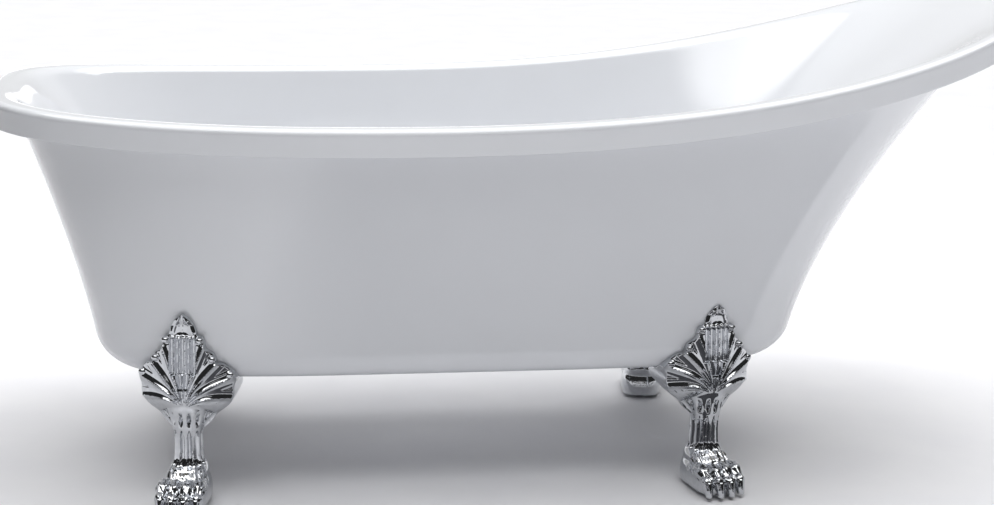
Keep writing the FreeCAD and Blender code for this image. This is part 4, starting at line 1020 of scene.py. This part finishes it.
    def hood_carving(self, side: Field, z: Field) -> Field:
        """Height of the pointed hood at the leaf's tip, with its rim, hollow and middle rib.

        Args:
            side: Distances to either side of the leaf's middle.
            z: Heights.

        Returns:
            Its relief.
        """
        hood = smooth_step((z - self.hood_heights[0]) / 6) * smooth_step((20.5 - side) / 2)
        arch = np.clip(side / np.interp(z, self.hood_heights, self.hood_halves), 0, 1.4)
        shape = 2.2 * bump((arch - 0.86) / 0.3) - 2.4 * bump(arch / 0.62) + 1.2 * bump(side / 2.0)
        tip = 5.5 * smooth_step((z - self.hood_heights[1]) / 14) * smooth_step((20 - side) / 6)
        return hood * shape + tip

    def leaf_relief(self) -> Field:
        """How far out the leaf's carved front face stands, over u and z.

        Returns:
            The table.
        """
        u, z = np.meshgrid(*self.table_axes(), indexing="ij")
        side = np.abs(u)
        front = self.rows_at(self.leaf_front, z)[0] - self.sweep * u ** 2 - 2.0
        carve = np.maximum(self.petal_carving(side, z - self.leaf_root), self.band_carving(side, z))
        return front + self.panel_carving(u, z, carve) + self.hood_carving(side, z)

    def leaf_edge(self) -> Field:
        """Distance from the leaf's outline, negative inside it, over u and z.

        Returns:
            The table.
        """
        u, z = np.meshgrid(*self.table_axes(), indexing="ij")
        corners = np.array(self.leaf_half, float)
        # two rounds of corner cutting make the outline flow
        for _ in range(2):
            a, b = corners[:-1], corners[1:]
            cut = np.empty((2 * len(a), 2))
            cut[0::2], cut[1::2] = 0.75 * a + 0.25 * b, 0.25 * a + 0.75 * b
            corners = np.vstack([corners[:1], cut, corners[-1:]])
        outline = np.vstack([corners, (corners * [-1, 1])[::-1][1:-1]])
        nearest = np.full(u.shape, 1e9)
        inside = np.zeros(u.shape, bool)
        for (x0, z0), (x1, z1) in zip(outline, np.roll(outline, -1, axis=0)):
            dx, dz = x1 - x0, z1 - z0
            share = np.clip(((u - x0) * dx + (z - z0) * dz) / (dx * dx + dz * dz + 1e-9), 0, 1)
            nearest = np.minimum(nearest, np.hypot(u - x0 - share * dx, z - z0 - share * dz))
            if z0 != z1:
                spans = (z0 > z) != (z1 > z)
                inside ^= spans & (u < dx * (z - z0) / dz + x0)
        return np.where(inside, -nearest, nearest)

    def skirt_depths(self) -> Field:
        """The skirt's half width over x and z near this foot.

        Returns:
            The table, whose rows run over x and whose columns run over z.
        """
        xs, zs = self.skirt_axes()
        turns = np.linspace(FULL_TURN / 2, FULL_TURN, self.skirt_turns)
        columns = []
        for z in zs:
            x, y = self.form.skirt_point(turns, np.full(turns.shape, z), -self.seat_gap)
            columns.append(np.interp(xs, x, -y, left=0.0, right=0.0))
        return np.array(columns).T

    def skirt_axes(self) -> Tuple[Field, Field]:
        """The x and z values of the skirt's table.

        Returns:
            Both rows of values.
        """
        reach, height = self.skirt_reach
        step_x, step_z = self.skirt_steps
        return (self.place[0] + np.arange(-reach, reach + 0.01, step_x),
                self.form.belly + np.arange(0.05, height, step_z))

    def outside_skirt(self, x: Field, y: Field, z: Field) -> Field:
        """Distance outside the skirt, with its seating gap.

        Args:
            x: Places along the tub.
            y: Places across the tub.
            z: Heights.

        Returns:
            A distance that is positive outside the skirt and negative within it.
        """
        xs, zs = self.skirt_axes()
        step_x, step_z = self.skirt_steps
        t = self.skirt_table
        half, i, k = between(t, (x - xs[0]) / step_x, (z - zs[0]) / step_z)
        lean = np.hypot(1.0, np.hypot(t[i, k + 1] - t[i, k], (t[i + 1, k] - t[i, k]) / step_x))
        return np.maximum((-y - half) / lean, self.form.belly - self.seat_gap - z)

    def block(self, rows: Sequence[Sequence[float]], exponent: float, u: Field, v: Field, z: Field) -> Field:
        """Distance from a column of level superellipses.

        Args:
            rows: Height, half width, middle and half depth of each.
            exponent: How square they are.
            u: Places to the side.
            v: Places out from the tub.
            z: Heights.

        Returns:
            The distance at the places, negative inside.
        """
        half_width, middle, half_depth = self.rows_at(rows, z)
        out = v - middle
        ratio = (np.abs(u / half_width) ** exponent + np.abs(out / half_depth) ** exponent) ** (1 / exponent)
        return np.hypot(u, out) * (1 - 1 / np.maximum(ratio, 0.05))

    def leg_flutes(self, u: Field, v: Field, z: Field) -> Field:
        """Depth of the leg's tall flutes, with pointed tops, and of the small arches over them.

        Args:
            u: Places to the side.
            v: Places out from the tub.
            z: Heights.

        Returns:
            How deep they are cut at the places.
        """
        low, high, arches = self.flute_heights
        tall, small = self.flute_depths
        turn = np.arctan2(u, v + 2.0)
        place = turn / (FULL_TURN / self.flute_count) - 0.5
        across = np.abs(place - np.round(place)) / 0.34
        hollow = np.clip(1 - across ** 2, 0, None) ** 0.7
        top = smooth_step((high - 13 * np.minimum(across, 1.2) ** 1.4 - z) / 3.5)
        foot = smooth_step((z - low - 4 * across ** 2) / 4)
        arch = bump(np.clip(across * 1.05, 0, 1)) * bump((z - arches) / 15)
        return tall * hollow * top * foot + small * arch * (np.abs(turn) < 1.3)

    def toes(self, u: Field, v: Field, z: Field) -> Field:
        """Distance from the four toes with their claws.

        Args:
            u: Places to the side.
            v: Places out from the tub.
            z: Heights.

        Returns:
            The distance at the places, negative inside.
        """
        side = np.abs(u)
        top, drop = self.claw_heights
        out, hook = self.claw_out
        half, taper, thick = self.claw_half
        result = np.full(u.shape, np.inf)
        for place, back in self.toe_places:
            for (v0, z0, r0), (v1, z1, r1) in zip(self.toe_chain, self.toe_chain[1:]):
                dv, dz = v1 - v0, z1 - z0
                share = np.clip(((v + back - v0) * dv + (z - z0) * dz) / (dv * dv + dz * dz), 0, 1)
                off_v, off_z = v + back - v0 - share * dv, z - z0 - share * dz
                gap = np.sqrt((side - place) ** 2 + off_v ** 2 + off_z ** 2)
                result = np.minimum(result, gap - (r0 + share * (r1 - r0)))
            # a pointed claw stands out of each toe's end
            claw = np.clip((top - z) / drop, 0, 1)
            spine = out - back - hook * (1 - claw) ** 2
            narrow = half - taper * claw
            nail = (np.hypot((side - place) / narrow, (v - spine) / thick) - 1) * narrow
            nail = np.maximum(nail, np.maximum(z - top - 1.0, self.base - z))
            result = smooth_min(result, nail, 1.2)
        return result

    def wrinkles(self, u: Field, v: Field, z: Field) -> Field:
        """Height of the lumpy tufts over the knuckles.

        Args:
            u: Places to the side.
            v: Places out from the tub.
            z: Heights.

        Returns:
            Their height at the places.
        """
        warp = 1.3 * np.sin(0.31 * u + 0.23 * z)
        lumps = np.sin(0.5 * u + warp) * np.sin(0.5 * z + 0.35 * v + 0.9 * np.sin(0.3 * u))
        fine = np.sin(1.2 * u - 0.6 * v + 2.0) * np.sin(0.95 * z + 0.5 * v)
        rows = sum(bump((z - middle) / half) for middle, half in self.tufts)
        broad, small = self.tuft_heights
        return (broad * lumps + small * fine) * np.clip(rows, 0, 1) * smooth_step((v - 8) / 14)

    def leaf(self, u: Field, v: Field, z: Field) -> Field:
        """Distance from the leaf with its curls.

        Args:
            u: Places to the side.
            v: Places out from the tub.
            z: Heights.

        Returns:
            The distance at the places, negative inside.
        """
        plain = self.rows_at(self.leaf_front, z)[0] - self.sweep * u ** 2
        depth = np.interp(z, *np.array(self.leaf_depth, float).T)
        face = (v - self.look_up(self.front_table, u, z)) * 0.85
        leaf = smooth_max(face, self.look_up(self.edge_table, u, z), 3.0)
        leaf = np.maximum(leaf, plain - depth - v)
        flat_v, flat_z = self.curl_squash
        for place, height, radius in self.curls:
            seat = np.interp(height, *np.array(self.leaf_front, float).T) - self.sweep * place ** 2
            across = (np.abs(u) - place) ** 2
            ball = np.sqrt(across + ((v - seat) / flat_v) ** 2 + ((z - height) / flat_z) ** 2)
            leaf = smooth_min(leaf, (ball - radius) * 0.88, 1.6)
        return leaf

    def leg(self, u: Field, v: Field, z: Field) -> Field:
        """Distance from the fluted leg.

        Args:
            u: Places to the side.
            v: Places out from the tub.
            z: Heights.

        Returns:
            The distance at the places, negative inside.
        """
        low, high, rounding = self.leg_ends
        leg = self.block(self.leg_rows, self.leg_exponent, u, v, z) + self.leg_flutes(u, v, z)
        return smooth_max(smooth_max(leg, z - high, rounding), low - z, rounding)

    def paw(self, u: Field, v: Field, z: Field) -> Field:
        """Distance from the paw with its toes and tufts.

        Args:
            u: Places to the side.
            v: Places out from the tub.
            z: Heights.

        Returns:
            The distance at the places, negative inside.
        """
        top, rounding = self.paw_top
        paw = smooth_max(self.block(self.paw_rows, self.paw_exponent, u, v, z), z - top, rounding)
        return smooth_min(paw, self.toes(u, v, z), 2.5) - self.wrinkles(u, v, z)

    def seat(self, u: Field, v: Field, z: Field) -> Field:
        """Distance from the tongue that reaches under the skirt.

        Args:
            u: Places to the side.
            v: Places out from the tub.
            z: Heights.

        Returns:
            The distance at the places, negative inside.
        """
        half, reach, low, above = self.tongue
        slab = np.maximum(np.abs(u) - half, np.maximum(-reach - v, v))
        return smooth_max(slab, np.maximum(low - z, z - self.form.belly - above), 1.5)

    def holes(self, u: Field, v: Field, z: Field) -> List[Field]:
        """Distances from the levelling screw's stepped hole and from the two bolt holes.

        Args:
            u: Places to the side.
            v: Places out from the tub.
            z: Heights.

        Returns:
            The distance from each hole, negative inside it.
        """
        place, radius, top = self.leveller
        off, back, hole = self.bolts
        shaft = np.hypot(u, v - place) - radius
        drill = np.hypot(np.abs(u) - off, v + back) - hole
        return [np.maximum(shaft, z - top), np.maximum(shaft + 2.0, z - top - 2.0),
                np.maximum(drill, 170.0 - z)]

    def surface(self, u: Field, v: Field, z: Field) -> Field:
        """Distance from the foot's surface, negative inside, in millimetres.

        Args:
            u: Places to the side.
            v: Places out from the tub.
            z: Heights.

        Returns:
            The field at the places.
        """
        to_leg, to_leaf, to_seat = self.blends
        body = smooth_min(self.leg(u, v, z), self.paw(u, v, z), to_leg)
        body = smooth_min(body, self.leaf(u, v, z), to_leaf)
        body = smooth_min(body, self.seat(u, v, z), to_seat)
        body = smooth_max(body, self.base - z, 1.2)
        body = np.maximum(body, -self.outside_skirt(*self.world(u, v), z))
        for hole in self.holes(u, v, z):
            body = np.maximum(body, -hole)
        return body

    def mesh(self) -> Tuple[np.ndarray, np.ndarray]:
        """Lay the foot's surface out as quads.

        Returns:
            The points in the tub's axes and the quads.
        """
        low, high = np.array(self.low_corner), np.array(self.high_corner)
        step, coarse = self.step, self.coarse
        count = np.ceil((high - low) / step / coarse).astype(int) + 1
        nodes = [low[a] + step * coarse * np.arange(count[a]) for a in range(3)]
        rough = self.surface(*np.meshgrid(*nodes, indexing="ij"))
        # only the coarse cells near the surface get the fine grid's values
        cells = np.logical_or.reduce(cell_corners(np.abs(rough) < self.near))
        spread = np.ones((coarse, coarse, coarse))
        fine = np.kron(rough[:-1, :-1, :-1], spread)
        mask = np.kron(cells, spread) > 0
        fine[mask] = self.surface(*(low + step * np.argwhere(mask)).T)
        points, quads = surface_net(fine, low, step)
        # a few steps along the slope settle the points on the surface
        for _ in range(self.settle_rounds):
            here = self.surface(*points.T)
            ahead = [self.surface(*(points + self.probe * way).T) for way in np.eye(3)]
            slope = np.column_stack([(there - here) / self.probe for there in ahead])
            steep = np.maximum((slope ** 2).sum(axis=1), 0.2)
            move = -(here / steep)[:, None] * slope
            size = np.linalg.norm(move, axis=1, keepdims=True)
            points = points + move * np.minimum(1.0, 0.4 * step / np.maximum(size, 1e-9))
        x, y = self.world(points[:, 0], points[:, 1])
        return np.column_stack([x, y, points[:, 2]]), quads


@dataclass
class Feet:
    """The four claw feet, two under the low end and two under the high end, splayed outwards."""

    form: TubForm
    low_place: float = -541.0
    high_place: float = 305.0
    side_place: float = 235.0
    splay: float = 12.0
    patterns: List[ClawFoot] = field(default_factory=list)

    def __post_init__(self) -> None:
        """Set the front foot of either end in its place."""
        for x, turn in ((self.low_place, -self.splay), (self.high_place, self.splay)):
            foot = ClawFoot(self.form)
            foot.stand_at(x, -self.side_place, turn)
            self.patterns.append(foot)

    def bolt_places(self) -> List[Tuple[float, float]]:
        """Plan places of the eight bolts that hold the feet.

        Returns:
            An x and a y for each.
        """
        places = []
        for foot in self.patterns:
            off, back, _ = foot.bolts
            for u in (-off, off):
                x, y = foot.world(u, -back)
                places += [(x, y), (x, -y)]
        return places

    def build(self, chrome: bpy.types.Material) -> None:
        """Build and dress the four feet.

        Args:
            chrome: Their finish.
        """
        for end, foot in zip(("low", "high"), self.patterns):
            points, quads = foot.mesh()
            shapes = {"front": (points, quads), "rear": (points * [1, -1, 1], quads[:, ::-1])}
            for side, (side_points, side_quads) in shapes.items():
                piece = new_piece(f"cast_foot_{side}_{end}", side_points, side_quads.tolist())
                dress(piece, chrome)
                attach(piece, "tub")
                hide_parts(f"claw_foot_{side}_{end}")
                LOG.info("built %s with %d faces", piece.name, len(piece.data.polygons))


# ------------------------------------------------------------------ the plug's spring
@dataclass
class PlugSpring:
    """The coil spring of drawn steel wire under the plug, which closes up as the plug is pressed."""

    wire_radius: float = 0.5
    turns: int = 5
    steps: int = 36
    around: int = 12
    seat: float = 204.0
    press: float = 8.0

    def build(self, steel: bpy.types.Material) -> None:
        """Wind the spring where its node stands.

        Args:
            steel: Its finish.
        """
        low, high = (np.array(corner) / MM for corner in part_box("popup_spring"))
        middle = (low + high) / 2
        coil = (high[0] - low[0]) / 2 - self.wire_radius
        rise = (high[2] - low[2] - 2 * self.wire_radius) / (self.turns * self.steps)
        round_wire = FULL_TURN * np.arange(self.around) / self.around
        rings = []
        for number in range(self.turns * self.steps + 1):
            turn = FULL_TURN * number / self.steps
            out = np.array([math.cos(turn), math.sin(turn), 0.0])
            spine = np.array([middle[0], middle[1], low[2] + self.wire_radius + rise * number]) + coil * out
            rings.append(spine + self.wire_radius * (np.outer(np.cos(round_wire), [0.0, 0.0, 1.0])
                                                     + np.outer(np.sin(round_wire), out)))
        points, faces = bridge(rings)
        piece = new_piece("wound_plug_spring", points, faces)
        dress(piece, steel)
        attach(piece, "tub")
        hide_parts("popup_spring")
        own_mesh(piece)
        LOG.info("built %s with %d faces", piece.name, len(piece.data.polygons))


# ------------------------------------------------------------------ carried pieces
@dataclass
class CarriedParts:
    """The pieces whose CAD shape is right: they keep it and get the finish of their real material."""

    finishes: Dict[str, bpy.types.Material]

    def dress_all(self, replaced: Sequence[str]) -> None:
        """Give each carried node the material of its slot in the record.

        Args:
            replaced: Nodes that modelled pieces stand for.
        """
        for row in frame["record"]["subparts"]:
            name, slot = row["node"], row["material_slot"]
            node = frame["nodes"][name]
            if name in replaced:
                continue
            node.data.materials.clear()
            node.data.materials.append(self.finishes[slot])
            LOG.info("dressed %s in %s", name, slot)


# ------------------------------------------------------------------ studio
@dataclass
class Studio:
    """A pale floor under a bright overhead sky, dim low down in front, and the photograph's camera."""

    place: Point = (-0.4622, -3.000, 1.0872)
    yaw: float = 0.14810
    pitch: float = 0.24071
    roll: float = 0.020362
    lens: float = 65.34
    sensor: float = 36.0
    floor_size: float = 60.0
    floor_colour: str = "#efeff1"
    floor_shade: str = "#ebebee"
    floor_roughness: float = 0.75
    floor_gloss: float = 0.2
    mottle_scale: float = 6.0
    card_colour: str = "#424246"
    card_roughness: float = 0.9
    # strengths overhead, on the wall behind and elsewhere, and between which slopes each sets in
    sky: float = 3.2
    wall: float = 0.55
    dim: float = 0.03
    sky_edge: Tuple[float, float] = (0.76, 0.86)
    wall_edge: Tuple[float, float] = (0.45, 0.62)
    strips: Tuple[Tuple[Point, Point, Tuple[float, float], float], ...] = (
        ((0.3, -3.4, 2.2), (0.0, 0.0, 0.4), (1.6, 0.7), 2.0),
        ((0.1, 0.1, 2.6), (0.1, 0.1, 0.3), (1.6, 0.5), 12.0),
        ((0.0, 2.3, 0.7), (0.0, 0.0, 0.0), (2.4, 0.5), 4.0),
    )
    cards: Tuple[Tuple[Point, ...], ...] = (
        ((-0.6, -1.3, 0.002), (1.5, -1.3, 0.002), (1.5, -0.42, 0.002), (-0.6, -0.42, 0.002)),)
    card_fade: Tuple[Tuple[float, float], ...] = ((-0.56, -0.26), (1.45, 1.0))
    flags: Tuple[Tuple[Point, ...], ...] = (
        ((-1.2, -1.2, 0.1), (-1.2, 0.7, 0.1), (-1.2, 0.7, 1.1), (-1.2, -1.2, 1.1)),)

    def build(self) -> None:
        """Set up the floor, the black cards, the sky, the strip lights and the camera."""
        self.build_floor()
        self.build_cards("studio_black_cards", self.cards, True)
        self.build_cards("studio_black_flag", self.flags, False)
        self.build_sky()
        for number, (place, target, size, power) in enumerate(self.strips):
            self.build_strip(f"strip_light_{number}", place, target, size, power)
        self.build_camera()
        bpy.context.scene.view_settings.view_transform = "Standard"

    def build_floor(self) -> None:
        """Lay the floor: matt white paint with a faint mottle from the roller."""
        half = self.floor_size / 2 / MM
        corners = np.array([(-half, -half, 0.0), (half, -half, 0.0), (half, half, 0.0), (-half, half, 0.0)])
        floor = new_piece("studio_floor", corners, [(0, 1, 2, 3)], smooth=False)
        material, tree, shader = new_material("roller_painted_studio_floor")
        shader.inputs["Roughness"].default_value = self.floor_roughness
        shader.inputs["Specular IOR Level"].default_value = self.floor_gloss
        place = add_node(tree, "ShaderNodeTexCoord").outputs["Object"]
        mottle = add_node(tree, "ShaderNodeTexNoise", inputs={
            "Vector": place, "Scale": self.mottle_scale, "Detail": 3.0})
        tint = add_node(tree, "ShaderNodeValToRGB", inputs={"Fac": mottle.outputs["Fac"]},
                        stops=[(0.3, self.floor_shade), (0.7, self.floor_colour)])
        tree.links.new(tint.outputs["Color"], shader.inputs["Base Color"])
        floor.data.materials.append(material)

    def build_cards(self, name: str, cards: Sequence[Sequence[Point]], glossy: bool) -> None:
        """Set up black cards, out of the camera's sight.

        Args:
            name: The name of the group of cards.
            cards: The corners of each card.
            glossy: Whether they show as dark streaks in the gloss, or else take light off the side they face.
        """
        corners = np.array([corner for card in cards for corner in card])
        faces = [range(first, first + 4) for first in range(0, len(corners), 4)]
        piece = new_piece(name, corners / MM, faces, smooth=False)
        piece.visible_camera = False
        piece.visible_diffuse = not glossy
        piece.visible_glossy = glossy
        piece.visible_shadow = False
        material, tree, shader = new_material("matt_black_card")
        shader.inputs["Base Color"].default_value = linear(self.card_colour)
        shader.inputs["Roughness"].default_value = self.card_roughness
        if glossy:
            self.fade_cards(tree, shader)
        piece.data.materials.append(material)

    def fade_cards(self, tree: bpy.types.NodeTree, shader: bpy.types.Node) -> None:
        """Thin a card out towards its left and right edge, so that no hard streak shows in the acrylic.

        Args:
            tree: The card's node tree.
            shader: The card's shader.
        """
        place = add_node(tree, "ShaderNodeTexCoord").outputs["Object"]
        axes = add_node(tree, "ShaderNodeSeparateXYZ", inputs={"Vector": place})
        sides = [add_node(tree, "ShaderNodeMapRange", settings={"interpolation_type": "SMOOTHSTEP"}, inputs={
            "Value": axes.outputs["X"], "From Min": edge, "From Max": full}).outputs["Result"]
            for edge, full in self.card_fade]
        cover = add_node(tree, "ShaderNodeMath", settings={"operation": "MINIMUM"},
                         inputs=dict(enumerate(sides)))
        tree.links.new(cover.outputs["Value"], shader.inputs["Alpha"])

    def build_sky(self) -> None:
        """Light from a large overhead softbox and a white wall behind, dim elsewhere."""
        world = bpy.data.worlds.new("studio_sky")
        bpy.context.scene.world = world
        world.use_nodes = True
        tree = world.node_tree
        tree.nodes.clear()
        way = add_node(tree, "ShaderNodeTexCoord").outputs["Generated"]
        axes = add_node(tree, "ShaderNodeSeparateXYZ", inputs={"Vector": way})
        over = add_node(tree, "ShaderNodeMapRange", settings={"interpolation_type": "SMOOTHSTEP"}, inputs={
            "Value": axes.outputs["Z"], "From Min": self.sky_edge[0], "From Max": self.sky_edge[1],
            "To Min": 0.0, "To Max": self.sky})
        back = add_node(tree, "ShaderNodeMapRange", settings={"interpolation_type": "SMOOTHSTEP"}, inputs={
            "Value": axes.outputs["Y"], "From Min": self.wall_edge[0], "From Max": self.wall_edge[1],
            "To Min": self.dim, "To Max": self.wall})
        light = add_node(tree, "ShaderNodeMath", settings={"operation": "MAXIMUM"}, inputs={
            0: over.outputs["Result"], 1: back.outputs["Result"]})
        lit = add_node(tree, "ShaderNodeBackground", inputs={
            "Color": (1.0, 1.0, 1.0, 1.0), "Strength": light.outputs["Value"]})
        seen = add_node(tree, "ShaderNodeBackground", inputs={"Color": (1.0, 1.0, 1.0, 1.0), "Strength": 1.0})
        direct = add_node(tree, "ShaderNodeLightPath").outputs["Is Camera Ray"]
        mix = add_node(tree, "ShaderNodeMixShader", inputs={
            0: direct, 1: lit.outputs["Background"], 2: seen.outputs["Background"]})
        add_node(tree, "ShaderNodeOutputWorld", inputs={"Surface": mix.outputs["Shader"]})

    def build_strip(self, name: str, place: Point, target: Point, size: Tuple[float, float],
                    power: float) -> None:
        """Hang one strip softbox.

        Args:
            name: Its name.
            place: Where it hangs.
            target: What it faces.
            size: Its width and length.
            power: Its power in watts.
        """
        light = bpy.data.lights.new(name, "AREA")
        light.shape = "RECTANGLE"
        light.size, light.size_y = size
        light.energy = power
        lamp = bpy.data.objects.new(name, light)
        lamp.location = place
        lamp.rotation_euler = (Vector(target) - Vector(place)).to_track_quat("-Z", "Y").to_euler()
        lamp.visible_camera = False
        bpy.context.scene.collection.objects.link(lamp)

    def build_camera(self) -> None:
        """Set the camera at the photograph's place, turn and roll."""
        cy, sy = math.cos(self.yaw), math.sin(self.yaw)
        cp, sp = math.cos(self.pitch), math.sin(self.pitch)
        forward = Vector((sy * cp, cy * cp, -sp))
        right = Vector((cy, -sy, 0.0))
        up = right.cross(forward)
        cr, sr = math.cos(self.roll), math.sin(self.roll)
        right, up = cr * right + sr * up, cr * up - sr * right
        data = bpy.data.cameras.new("camera")
        data.lens = self.lens
        data.sensor_width = self.sensor
        camera = bpy.data.objects.new("camera", data)
        turn = Matrix((right, up, -forward)).transposed().to_4x4()
        camera.matrix_world = Matrix.Translation(self.place) @ turn
        bpy.context.scene.collection.objects.link(camera)
        bpy.context.scene.camera = camera


def main() -> None:
    """Build the studio and every sub-assembly in order."""
    logging.basicConfig(level=logging.INFO, format="%(name)s: %(message)s")
    Studio().build()
    finishes = make_finishes()
    feet = Feet(FORM)
    shells = Shells(FORM)
    walls = {"basin": shells.build_basin(), "outer_skirt": shells.build_skirt(feet.bolt_places())}
    for node, piece in walls.items():
        dress(piece, finishes["white_acrylic"])
        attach(piece, "tub")
        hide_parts(node)
        LOG.info("built %s with %d faces", piece.name, len(piece.data.polygons))
    feet.build(finishes[Metal.CHROME.value])
    PlugSpring().build(finishes[Metal.SPRING.value])
    cast = [f"claw_foot_{side}_{end}" for side in ("front", "rear") for end in ("low", "high")]
    CarriedParts(finishes).dress_all([*walls, "popup_spring", *cast])


if __name__ == "__main__":
    main()
